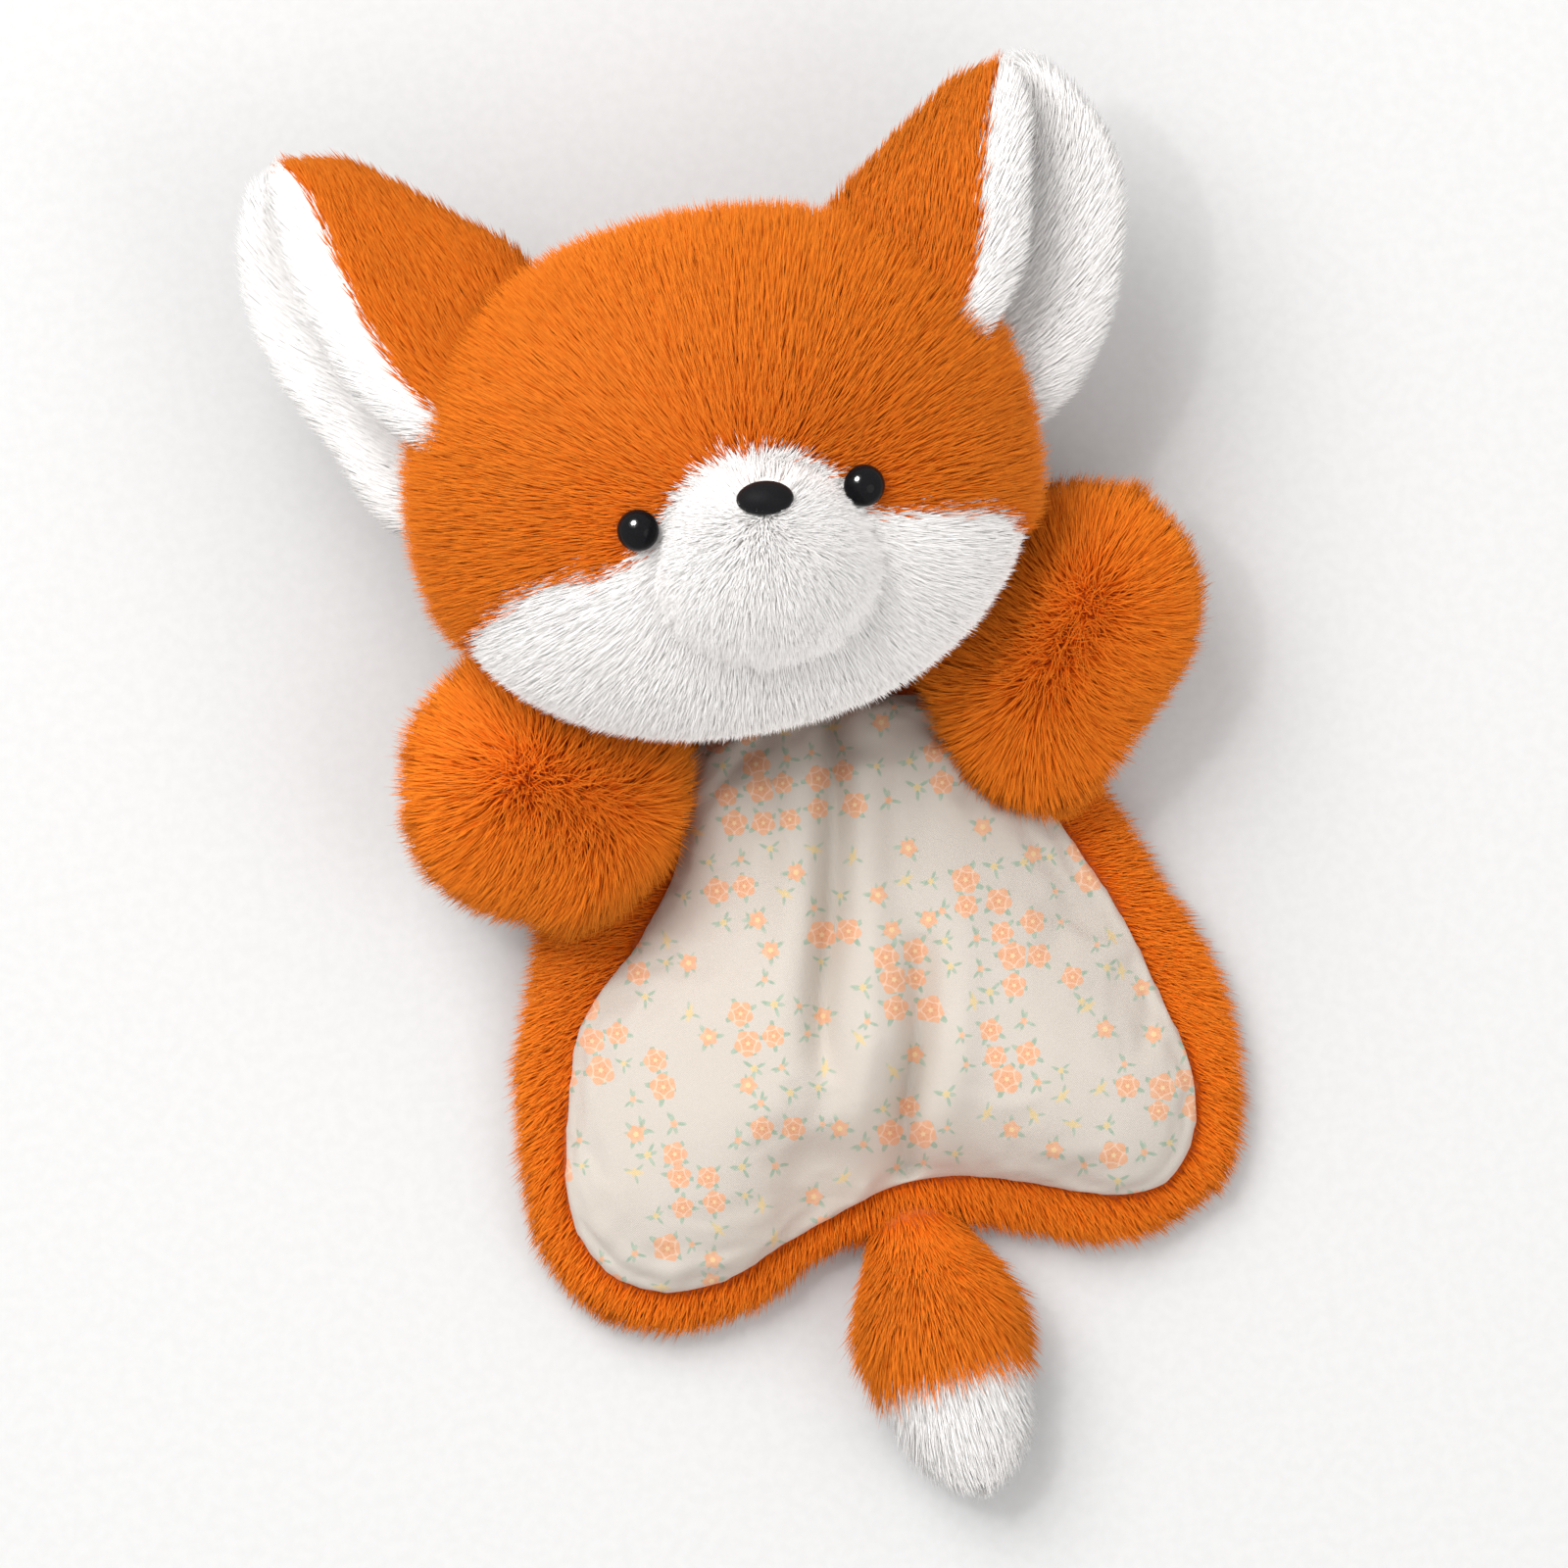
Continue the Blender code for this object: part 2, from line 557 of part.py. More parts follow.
def build_head(seats):
    """Head, cheeks and muzzle with their stuffing."""
    cutters = build_fasteners(seats)
    inside = as_cutter(head_form("head_hollow", PLUSH_THICKNESS))
    seat = seat_room("neck_seat", neck_pivot(), NECK_BALL)
    overhead = HEAD_EQUATOR + HEAD_FRONT_DEPTH + CUT_OVERRUN
    crescent = prism("crescent", cheek_outline(0.0), CHEEK_BACK_LEVEL, overhead)
    crescent_room = prism("crescent_room", cheek_outline(SEAM_GAP), CHEEK_BACK_LEVEL - SEAM_GAP, overhead)
    head_cover = head_form("head_cover", 0.0, colour=ORANGE)
    cheek_cover = head_form("cheek_cover", 0.0, colour=WHITE)
    for cover in (head_cover, cheek_cover):
        cut(cover, inside)
        cut(cover, seat)
    cut(head_cover, crescent_room)
    cut(cheek_cover, crescent, "INTERSECT")
    for side in ("eye_left", "eye_right"):
        cut(head_cover, cutters[side][0])
        cut(cheek_cover, cutters[side][0])
    head_filling = head_form("head_filling", PLUSH_THICKNESS + FILLING_GAP, colour=FIBRE)
    cut(head_filling, seat)
    for side in ("eye_left", "eye_right"):
        for cutter in cutters[side]:
            cut(head_filling, cutter)

    face = as_cutter(head_form("face_under_muzzle", -SEAM_GAP))
    muzzle_cover = muzzle_form("muzzle_cover", 0.0, colour=WHITE)
    cut(muzzle_cover, as_cutter(muzzle_form("muzzle_hollow", PLUSH_THICKNESS)))
    cut(muzzle_cover, face)
    for name in seats:
        cut(muzzle_cover, cutters[name][0])
    muzzle_filling = muzzle_form("muzzle_filling", PLUSH_THICKNESS + FILLING_GAP, colour=FIBRE)
    cut(muzzle_filling, face)
    for cutter in cutters["nose"]:
        cut(muzzle_filling, cutter)
    ball("neck_filling", neck_pivot(), NECK_BALL, colour=FIBRE)


def body_sections():
    """Angles round the body with the reach of its border and of its panel."""
    border = smooth_loop(BODY_SHARES, BODY_HALF_WIDTH, BODY_HALF_LENGTH)
    panel = smooth_loop(PANEL_SHARES, BODY_HALF_WIDTH, BODY_HALF_LENGTH)
    angles = [math.tau * (side + 0.5) / BODY_SIDES for side in range(BODY_SIDES)]
    return angles, [reach(border, a) for a in angles], [reach(panel, a) for a in angles]


def shoulder_pivot(x, y):
    """Middle of a shoulder's ball."""
    return Vector((x, y, SHOULDER_LEVEL))


def fold_depth(place):
    """How far the panel's folds sink it at a place of the front view."""
    away = BODY_HALF_WIDTH
    for shares in FOLD_SHARES:
        path = [Vector((x * BODY_HALF_WIDTH, BODY_CENTRE_Y + y * BODY_HALF_LENGTH)) for x, y in shares]
        for start, end in zip(path, path[1:]):
            way = end - start
            share = min(1.0, max(0.0, (place - start).dot(way) / way.length_squared))
            away = min(away, (place - start - way * share).length)
    return FOLD_DEPTH * math.exp(-((away / FOLD_HALF_WIDTH) ** 2))


def build_body():
    """Back with its rolled border, cotton front and stuffing."""
    angles, outer, panel = body_sections()

    def level_ring(radii, level):
        return ring_at(0.0, BODY_CENTRE_Y, angles, radii, level)

    def middle(level):
        return Vector((0.0, BODY_CENTRE_Y, level))

    seam = BORDER_HEIGHT - SEAM_GAP
    roll = [min(BORDER_ROLL, (o - p) / 2) for o, p in zip(outer, panel)]
    tray = [p - TRAY_WALL for p in panel]
    back = [
        level_ring([o - r for o, r in zip(outer, roll)], 0.0),
        level_ring([o - r / 4 for o, r in zip(outer, roll)], BORDER_HEIGHT / 6),
        level_ring(outer, BORDER_HEIGHT / 2),
        level_ring([o - r / 4 for o, r in zip(outer, roll)], BORDER_HEIGHT * 5 / 6),
        level_ring([o - r for o, r in zip(outer, roll)], BORDER_HEIGHT),
        level_ring([p + SEAM_GAP / 2 for p in panel], seam),
        level_ring([p + SEAM_GAP / 2 for p in panel], seam - COTTON_THICKNESS),
        level_ring(tray, PLUSH_THICKNESS),
    ]
    back_cover = skin("body_back_cover", back, middle(0.0), middle(PLUSH_THICKNESS), colour=ORANGE)

    rise = BODY_CROWN - seam
    crown = BODY_CROWN - fold_depth(Vector((0.0, BODY_CENTRE_Y)))

    def crown_rings(radii, drop):
        """Rings from the seam to the crown, a drop below the cotton's face."""
        rings = []
        for way, share in PANEL_RISE_SHARES:
            ring = level_ring([r * way for r in radii], seam - drop)
            for point, face in zip(ring, level_ring([p * way for p in panel], seam)):
                point.z += share * (rise - fold_depth(face.xy))
            rings.append(ring)
        return rings

    cotton = [p - SEAM_GAP / 2 for p in panel]
    front_panel = skin(
        "body_front_panel", crown_rings(cotton, 0.0)[::-1] + crown_rings(cotton, COTTON_THICKNESS),
        middle(crown), middle(crown - COTTON_THICKNESS), colour=CREAM,
    )

    drop = COTTON_THICKNESS + FILLING_GAP
    inner = [p - FILLING_GAP - COTTON_THICKNESS for p in panel]
    stuffing = [level_ring([t - FILLING_GAP for t in tray], PLUSH_THICKNESS + FILLING_GAP)]
    stuffing += crown_rings(inner, drop)
    bottom = middle(PLUSH_THICKNESS + FILLING_GAP)
    filling = skin("body_filling", stuffing, bottom, middle(crown - drop), colour=FIBRE)

    slope = math.radians(NECK_SLOPE_DEG)
    towards_head = Vector((0.0, math.cos(slope), math.sin(slope)))
    edge = neck_pivot() + towards_head * head_clear(towards_head)
    cutters = [
        half_space("under_head", edge, towards_head),
        seat_room("body_neck_seat", neck_pivot(), NECK_BALL),
        seat_room("shoulder_seat_left", shoulder_pivot(ARM_LEFT_X, ARM_LEFT_Y), SHOULDER_BALL),
        seat_room("shoulder_seat_right", shoulder_pivot(ARM_RIGHT_X, ARM_RIGHT_Y), SHOULDER_BALL),
        seat_room("tail_seat", tail_pivot(), TAIL_BALL),
    ]
    for piece in (back_cover, front_panel, filling):
        for cutter in cutters:
            cut(piece, cutter)


def limb_rings(pivot, heading, lift, stations, inset):
    """Rings round a limb, each an oval at (distance, half width, half depth)."""
    along = Vector((math.cos(heading) * math.cos(lift), math.sin(heading) * math.cos(lift), math.sin(lift)))
    across = Vector((-math.sin(heading), math.cos(heading), 0.0))
    up = along.cross(across)
    rings = []
    for distance, width, depth in stations:
        centre = pivot + along * distance
        rings.append([
            centre
            + across * ((width - inset) * math.cos(math.tau * side / LIMB_SIDES))
            + up * ((depth - inset) * math.sin(math.tau * side / LIMB_SIDES))
            for side in range(LIMB_SIDES)
        ])
    return rings


def ball_stations(radius, inset):
    """Round root of a limb, from behind its pivot to where the limb leaves it."""
    small = radius - inset
    leans = [math.radians(degrees) for degrees in BALL_LEANS]
    return [(small * math.cos(lean), small * math.sin(lean), small * math.sin(lean)) for lean in leans]


def scaled_stations(shares, length, width, depth):
    """Stations of a limb from shares of its length, half width and half depth."""
    return [(s * length, w * width, d * depth) for s, w, d in shares]


def limb_end(pivot, heading, lift, distance):
    """Point on a limb's middle line."""
    flat = Vector((math.cos(heading) * math.cos(lift), math.sin(heading) * math.cos(lift), math.sin(lift)))
    return pivot + flat * distance


def pressed(ring, sides, inset):
    """Ring drawn in towards its middle behind flat sides, each a (place, outward direction)."""
    middle = sum(ring, Vector()) / len(ring)
    for place, outward in sides:
        middle -= outward * max(0.0, (middle - place).dot(outward) + PRESS_ROOM)
    moved = []
    for point in ring:
        share = 1.0
        for place, outward in sides:
            over = (point - place).dot(outward) + inset
            if over > 0.0:
                share = min(share, 1.0 - over / (point - middle).dot(outward))
        moved.append(middle + (point - middle) * share)
    return moved


def build_arm(side, pivot, heading_deg, length, half_width, half_depth):
    """Mitten and its stuffing, pressed flat where the cheek and the body's border lie against it."""
    heading = math.radians(heading_deg)
    lift = math.radians(ARM_LIFT_DEG)
    mitten = scaled_stations(MITTEN_SHARES, length, half_width, half_depth)

    middle = limb_end(pivot, heading, lift, length * MITTEN_SHARES[3][0])
    head_middle = Vector((HEAD_CENTRE_X, HEAD_CENTRE_Y, HEAD_EQUATOR))
    towards_head = (head_middle - middle).normalized()
    cheek_side = (neck_pivot() + towards_head * (head_clear(towards_head) - REST_GAP), towards_head)
    under_side = (Vector((0.0, 0.0, BORDER_HEIGHT + SEAM_GAP)), Vector((0.0, 0.0, -1.0)))
    sides = (cheek_side, under_side)

    def layer(root_wall, wall, stations):
        rings = limb_rings(pivot, heading, lift, ball_stations(SHOULDER_BALL, root_wall), 0.0)
        rings += limb_rings(pivot, heading, lift, stations, wall)
        return [pressed(ring, sides, root_wall) for ring in rings]

    outer = layer(0.0, 0.0, mitten)
    inner = layer(COTTON_THICKNESS, PLUSH_THICKNESS, mitten[:-1])
    tip = limb_end(pivot, heading, lift, length)
    inner_tip = limb_end(pivot, heading, lift, length - PLUSH_THICKNESS)
    skin("arm_%s_cover" % side, inner[::-1] + outer, inner_tip, tip, colour=ORANGE, pivot=pivot)

    core = layer(COTTON_THICKNESS + FILLING_GAP, PLUSH_THICKNESS + FILLING_GAP, mitten[:-1])
    root = sum(core[0], Vector()) / len(core[0])
    core_tip = limb_end(pivot, heading, lift, length - PLUSH_THICKNESS - 2 * FILLING_GAP)
    skin("arm_%s_filling" % side, core, root, core_tip, colour=FIBRE, pivot=pivot)


def tail_pivot():
    """Middle of the tail's ball."""
    return Vector((TAIL_X, TAIL_Y, TAIL_HALF_DEPTH - FLAT_DEPTH))


def flattened(rings, level):
    """Rings with everything under a level pressed flat."""
    return [[Vector((p.x, p.y, max(p.z, level))) for p in ring] for ring in rings]


def build_tail():
    """Orange brush, white tip and stuffing, flat underneath."""
    pivot = tail_pivot()
    heading = math.radians(TAIL_DEG)
    brush = scaled_stations(TAIL_BRUSH_SHARES, TAIL_LENGTH, TAIL_HALF_WIDTH, TAIL_HALF_DEPTH)
    tip = scaled_stations(TAIL_TIP_SHARES, TAIL_LENGTH, TAIL_TIP_HALF_WIDTH, TAIL_TIP_HALF_DEPTH)
    wall = PLUSH_THICKNESS
    root_wall = COTTON_THICKNESS
    outer = limb_rings(pivot, heading, 0.0, ball_stations(TAIL_BALL, 0.0) + brush, 0.0)
    inner = limb_rings(pivot, heading, 0.0, ball_stations(TAIL_BALL, root_wall), 0.0)
    inner += limb_rings(pivot, heading, 0.0, brush, wall)
    rings = flattened(inner[::-1], wall) + flattened(outer, 0.0)
    skin("tail_cover", rings, wrap=True, colour=ORANGE, pivot=pivot)

    outer = limb_rings(pivot, heading, 0.0, tip, 0.0)
    inner = limb_rings(pivot, heading, 0.0, tip[:-1], wall)
    rings = flattened(inner[::-1], wall) + flattened(outer, 0.0)
    end = limb_end(pivot, heading, 0.0, TAIL_LENGTH)
    inner_end = limb_end(pivot, heading, 0.0, TAIL_LENGTH - wall)
    skin("tail_tip_cover", rings, inner_end, end, colour=WHITE, pivot=pivot)

    gap = wall + FILLING_GAP
    core = limb_rings(pivot, heading, 0.0, ball_stations(TAIL_BALL, root_wall + FILLING_GAP), 0.0)
    core += limb_rings(pivot, heading, 0.0, brush[:-1], gap)
    core += limb_rings(pivot, heading, 0.0, tip[:-1], gap)
    core = flattened(core, gap)
    root = sum(core[0], Vector()) / len(core[0])
    core_end = limb_end(pivot, heading, 0.0, TAIL_LENGTH - wall - 2 * FILLING_GAP)
    skin("tail_filling", core, root, core_end, colour=FIBRE, pivot=pivot)


def ear_way(index, shares):
    """How far a row of an ear has opened out, from its narrow tip to its full depth."""
    return min(1.0, EAR_TIP_SHARE + EAR_OPENING_SHARE * index / len(shares))


def ear_sheet(shares, side):
    """Middle surface of an ear: rows from tip to root, each from the front rim round the fold to the side."""
    rows = []
    for index, (fold_x, fold_y, front_x, front_y, side_x, side_y) in enumerate(shares):
        way = ear_way(index, shares)

        def place(x, y, step):
            return Vector((
                HEAD_CENTRE_X + side * x * EAR_REACH,
                HEAD_CENTRE_Y + y * EAR_HEIGHT,
                HEAD_EQUATOR + EAR_TIP_STEP + (step - EAR_TIP_STEP) * way,
            ))

        front = place(front_x, front_y, EAR_FRONT_STEP)
        fold = place(fold_x, fold_y, EAR_FOLD_STEP)
        rim = place(side_x, side_y, EAR_SIDE_STEP)
        pull = 2 * fold - (front + rim) / 2
        row = []
        for step in range(EAR_STEPS + 1):
            t = step / EAR_STEPS
            point = front * (1 - t) ** 2 + pull * (2 * t * (1 - t)) + rim * t**2
            point.z -= 4 * t * (1 - t) * EAR_BACK_BULGE * way
            row.append(point)
        rows.append(row)
    return rows


def sheet_normals(rows, side):
    """Outward direction at each point of an ear's middle surface."""
    normals = []
    for i, row in enumerate(rows):
        line = []
        for j in range(len(row)):
            down = rows[min(i + 1, len(rows) - 1)][j] - rows[max(i - 1, 0)][j]
            over = row[min(j + 1, len(row) - 1)] - row[max(j - 1, 0)]
            line.append(over.cross(down).normalized() * side)
        normals.append(line)
    return normals


def sheet_solid(name, rows, normals, near, thickness, pivot, colour):
    """Closed sheet on one side of a middle surface, thinner towards the tip."""
    count = len(rows[0])
    layers = [[], []]
    for index, (row, line) in enumerate(zip(rows, normals)):
        far = near + thickness * ear_way(index, rows)
        layers[0] += [p + n * near for p, n in zip(row, line)]
        layers[1] += [p + n * far for p, n in zip(row, line)]
    size = len(layers[0])
    points = layers[0] + layers[1]
    faces = []
    for i in range(len(rows) - 1):
        for j in range(count - 1):
            corner = i * count + j
            below = corner + count
            for triangle in ((corner, corner + 1, below), (corner + 1, below + 1, below)):
                faces.append(triangle)
                faces.append(tuple(size + k for k in triangle))
    edge = list(range(count))
    edge += [i * count + count - 1 for i in range(1, len(rows))]
    edge += [(len(rows) - 1) * count + j for j in range(count - 2, -1, -1)]
    edge += [i * count for i in range(len(rows) - 2, 0, -1)]
    for here, nxt in zip(edge, edge[1:] + edge[:1]):
        faces.append((here, nxt, size + nxt, size + here))
    return mesh_object(name, points, faces, colour=colour, pivot=pivot)


def ear_hinge(shares, side):
    """Middle and direction of the line that an ear flaps about, just inside the head."""
    fold_x, fold_y, _, _, side_x, side_y = shares[-2]
    level = HEAD_EQUATOR + EAR_FOLD_STEP
    inner = Vector((HEAD_CENTRE_X + side * fold_x * EAR_REACH, HEAD_CENTRE_Y + fold_y * EAR_HEIGHT, level))
    outer = Vector((HEAD_CENTRE_X + side * side_x * EAR_REACH, HEAD_CENTRE_Y + side_y * EAR_HEIGHT, level))
    return (inner + outer) / 2, (outer - inner).normalized()


def build_ear(name, shares, side):
    """Plush back and white lining of an ear, cut off where they meet the head."""
    rows = ear_sheet(shares, side)
    normals = sheet_normals(rows, side)
    pivot, axis = ear_hinge(shares, side)
    half_gap = FILLING_GAP / 2
    outer = sheet_solid(name + "_outer", rows, normals, half_gap, EAR_PLUSH_THICKNESS, pivot, ORANGE)
    lining = sheet_solid(name + "_lining", rows, normals, -half_gap, -EAR_LINING_THICKNESS, pivot, WHITE)
    for degrees in (-EAR_FLAP_DEG, 0.0, EAR_FLAP_DEG):
        room = as_cutter(head_form("%s_root_%d" % (name, degrees), -SEAM_GAP))
        swing = Matrix.Rotation(math.radians(degrees), 4, axis)
        room.matrix_world = Matrix.Translation(pivot) @ swing @ Matrix.Translation(-pivot)
        cut(outer, room)
        cut(lining, room)


seats = fasteners()
build_head(seats)
build_body()
build_arm(
    "left", shoulder_pivot(ARM_LEFT_X, ARM_LEFT_Y), ARM_LEFT_DEG,
    ARM_LEFT_LENGTH, ARM_LEFT_HALF_WIDTH, ARM_LEFT_HALF_DEPTH,
)
build_arm(
    "right", shoulder_pivot(ARM_RIGHT_X, ARM_RIGHT_Y), ARM_RIGHT_DEG,
    ARM_RIGHT_LENGTH, ARM_RIGHT_HALF_WIDTH, ARM_RIGHT_HALF_DEPTH,
)
build_tail()
build_ear("ear_left", EAR_LEFT_SHARES, 1)
build_ear("ear_right", EAR_RIGHT_SHARES, -1)
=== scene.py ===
import json
import math

import bmesh
import bpy
import numpy as np
from bpy.props import FloatProperty, FloatVectorProperty, IntProperty, PointerProperty
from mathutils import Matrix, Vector


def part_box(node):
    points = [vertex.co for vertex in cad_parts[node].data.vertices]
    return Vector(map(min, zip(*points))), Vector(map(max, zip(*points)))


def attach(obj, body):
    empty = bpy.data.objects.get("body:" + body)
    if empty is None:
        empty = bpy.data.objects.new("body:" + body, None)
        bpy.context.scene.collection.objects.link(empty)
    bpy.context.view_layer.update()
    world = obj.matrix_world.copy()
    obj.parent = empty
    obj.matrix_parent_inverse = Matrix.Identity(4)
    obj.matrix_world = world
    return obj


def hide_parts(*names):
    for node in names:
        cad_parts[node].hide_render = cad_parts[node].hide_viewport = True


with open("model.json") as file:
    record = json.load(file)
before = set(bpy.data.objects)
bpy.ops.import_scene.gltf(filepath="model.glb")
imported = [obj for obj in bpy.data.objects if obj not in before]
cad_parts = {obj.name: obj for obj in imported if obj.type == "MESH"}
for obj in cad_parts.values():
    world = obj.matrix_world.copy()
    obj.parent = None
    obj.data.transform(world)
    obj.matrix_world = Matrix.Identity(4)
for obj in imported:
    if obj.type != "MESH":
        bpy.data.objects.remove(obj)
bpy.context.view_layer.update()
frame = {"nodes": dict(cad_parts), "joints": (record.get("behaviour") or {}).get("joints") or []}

bl_info = {
    "name": "Plush fox comforter",
    "version": (1, 0, 0),
    "blender": (4, 5, 0),
    "location": "View3D > Sidebar > Plush fox",
    "description": "Flat-bodied plush fox with long pile, a printed cotton front, and bead eyes",
    "category": "Add Mesh",
}

FLAT = (1.0, 1.0, 0.0)
WHITE = (1.0, 1.0, 1.0, 1.0)
# Level that the backing keeps above the floor, for the pile under it
FLOOR_GAP = 0.0030

# Head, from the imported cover; the level is that of its widest outline
HEAD_LEVEL = 0.054
HEAD_LOW, HEAD_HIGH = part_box("head_cover")
HEAD_LOW.y = min(HEAD_LOW.y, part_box("cheek_cover")[0].y)
HEAD_MIDDLE = (HEAD_LOW + HEAD_HIGH) / 2
HEAD_MIDDLE.z = HEAD_LEVEL
HEAD_HALF = (HEAD_HIGH - HEAD_LOW) / 2
HEAD_HALF.z = HEAD_HIGH.z - HEAD_LEVEL
FACE_MIDDLE = np.array(HEAD_MIDDLE.xy)
HEAD_SQUARENESS = 2.2
CHEEK_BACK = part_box("cheek_cover")[0].z
MUZZLE_MIDDLE = HEAD_MIDDLE + Vector((0.0055, -0.0190, 0.0300))
MUZZLE_HALF = Vector((0.0245, 0.0220, 0.0250))
# Softness of the muzzle's join round it: bearing, softness
MUZZLE_BLEND = (
    (-110.0, 0.0110), (-40.0, 0.0026), (30.0, 0.0060), (90.0, 0.0070), (150.0, 0.0150), (200.0, 0.0170),
)
CHEEK_SHARES = (
    (-0.83, -0.40), (-0.74, -0.33), (-0.63, -0.27), (-0.50, -0.25), (-0.39, -0.27), (-0.24, -0.22),
    (0.47, -0.25), (0.58, -0.27), (0.69, -0.29), (0.80, -0.33), (0.89, -0.43),
    (1.04, -0.70), (0.72, -1.20), (0.00, -1.40), (-0.60, -1.20), (-0.95, -0.75),
)

# Beads, placed from the head's middle
EYE_PLACES = {"eye_left": (0.0283, -0.0079), "eye_right": (-0.0191, -0.0079)}
NOSE_PLACE = (0.0077, -0.0058)
EYE_RADIUS = 0.0043
EYE_DOME = 0.0036
NOSE_HALF = (0.0058, 0.0039)
NOSE_DOME = 0.0034
SHANK_RADIUS = 0.0017
SHANK_LENGTH = 0.0140

# Body
BODY_MIDDLE_Y = 0.0030
BODY_HALF_WIDTH = 0.0750
BODY_HALF_LENGTH = 0.0630
BORDER_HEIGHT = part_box("body_back_cover")[1].z
BORDER_ROLL = 0.0100
PANEL_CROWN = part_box("body_front_panel")[1].z
SEAM_LEVEL = BORDER_HEIGHT - 0.0004
BODY_SHARES = (
    (0.04, -0.84), (0.21, -0.86), (0.35, -0.91), (0.51, -0.98), (0.67, -0.99), (0.82, -0.94),
    (0.93, -0.83), (0.98, -0.65), (1.00, -0.42), (0.99, -0.21), (0.94, -0.03), (0.88, 0.13),
    (0.83, 0.30), (0.77, 0.46), (0.68, 0.57), (0.59, 0.70), (0.49, 0.83), (0.34, 0.95),
    (0.00, 1.00), (-0.33, 0.94), (-0.44, 0.80), (-0.54, 0.64), (-0.68, 0.50), (-0.81, 0.38),
    (-0.85, 0.24), (-0.90, 0.10), (-0.95, -0.06), (-0.98, -0.27), (-1.00, -0.54), (-0.98, -0.70),
    (-0.92, -0.85), (-0.81, -0.96), (-0.67, -1.01), (-0.53, -1.00), (-0.40, -0.96), (-0.29, -0.90),
    (-0.16, -0.86),
)
PANEL_SHARES = (
    (0.06, -0.69), (0.20, -0.71), (0.34, -0.76), (0.47, -0.82), (0.57, -0.86), (0.66, -0.88),
    (0.75, -0.86), (0.83, -0.76), (0.87, -0.62), (0.87, -0.45), (0.83, -0.25), (0.79, -0.05),
    (0.74, 0.13), (0.67, 0.32), (0.60, 0.51), (0.54, 0.66), (0.48, 0.80), (0.36, 0.88),
    (0.00, 0.92), (-0.26, 0.88), (-0.34, 0.79), (-0.38, 0.60), (-0.44, 0.44), (-0.58, 0.24),
    (-0.69, 0.13), (-0.78, 0.00), (-0.82, -0.14), (-0.86, -0.30), (-0.89, -0.48), (-0.89, -0.60),
    (-0.86, -0.73), (-0.79, -0.83), (-0.69, -0.89), (-0.58, -0.90), (-0.46, -0.88), (-0.35, -0.82),
    (-0.19, -0.76), (-0.05, -0.71),
)
# Rise of the panel towards its crown: share of the way in from the seam, share of the rise
PANEL_RISE_SHARES = ((0.00, 0.00), (0.07, 0.34), (0.20, 0.60), (0.42, 0.85), (0.70, 0.97), (1.00, 1.00))
# Soft creases of the cotton: half width, depth, path
LONG_CREASE = ((0.0065, 0.0760), (0.0050, 0.0500), (-0.0010, 0.0200), (-0.0070, 0.0000))
CREASES = (
    (0.0038, 0.0052, (*LONG_CREASE, (-0.0098, -0.0180))),
    (0.0020, 0.0022, (*LONG_CREASE, (-0.0090, -0.0120))),
    (0.0040, 0.0058, ((0.0160, 0.0110), (0.0105, -0.0120), (0.0040, -0.0300), (0.0020, -0.0580))),
    (0.0020, 0.0024, ((0.0150, 0.0080), (0.0105, -0.0120), (0.0045, -0.0300), (0.0030, -0.0580))),
    (0.0050, 0.0022, ((0.0200, 0.0540), (0.0150, 0.0330), (0.0120, 0.0160))),
    (0.0050, 0.0022, ((-0.0220, -0.0350), (-0.0130, -0.0300), (0.0010, -0.0420))),
)
CREASE_KNOTS = 96
CLOTH = {
    "vertex_group_mass": "seam", "quality": 6, "mass": 0.15, "tension_stiffness": 12.0,
    "compression_stiffness": 12.0, "shear_stiffness": 5.0, "bending_stiffness": 0.05, "shrink_min": -0.03,
    "use_pressure": True,
}
CLOTH_FRAMES = 20

# Limbs: heading, length, half width, half depth, rise towards the hand
LIMBS = {
    "arm_left": (52.0, 0.0570, 0.0235, 0.0185, 10.0),
    "arm_right": (147.0, 0.0565, 0.0285, 0.0175, 10.0),
    "tail": (274.0, 0.0590, 0.0182, 0.0140, 0.0),
}
# Root of a limb: where it starts along it, how far it lies aside, how far it sinks, how slanting its end is
LIMB_ROOTS = {
    "arm_left": (-0.10, 0.0040, 0.0, 0.42), "arm_right": (0.06, 0.0030, 0.0, 0.10),
    "tail": (-0.09, 0.0, 0.0085, 0.0),
}
ROOT_END = 0.22
# Along a limb: share of its length, of its half width, of its half depth
ARM_SHARES = {
    "arm_left": (
        (-0.26, 0.42, 0.45), (-0.12, 0.80, 0.70), (0.05, 0.93, 0.86), (0.22, 0.95, 0.95), (0.42, 0.98, 1.00),
        (0.60, 1.00, 1.00), (0.76, 0.92, 0.92), (0.89, 0.70, 0.74), (0.97, 0.38, 0.42),
    ),
    "arm_right": (
        (-0.26, 0.30, 0.45), (-0.12, 0.62, 0.70), (0.05, 0.76, 0.86), (0.22, 0.86, 0.95), (0.42, 0.98, 1.00),
        (0.60, 1.00, 1.00), (0.76, 0.92, 0.92), (0.89, 0.70, 0.74), (0.97, 0.38, 0.42),
    ),
}
TAIL_SHARES = (
    (-0.16, 0.42, 0.50), (-0.04, 0.64, 0.64), (0.12, 0.78, 0.76), (0.28, 0.92, 0.94), (0.42, 1.00, 1.00),
    (0.54, 0.98, 0.98), (0.66, 0.90, 0.92), (0.78, 0.84, 0.86), (0.88, 0.72, 0.76), (0.95, 0.54, 0.58),
    (0.99, 0.32, 0.36),
)
TAIL_TIP_SHARE = 0.545

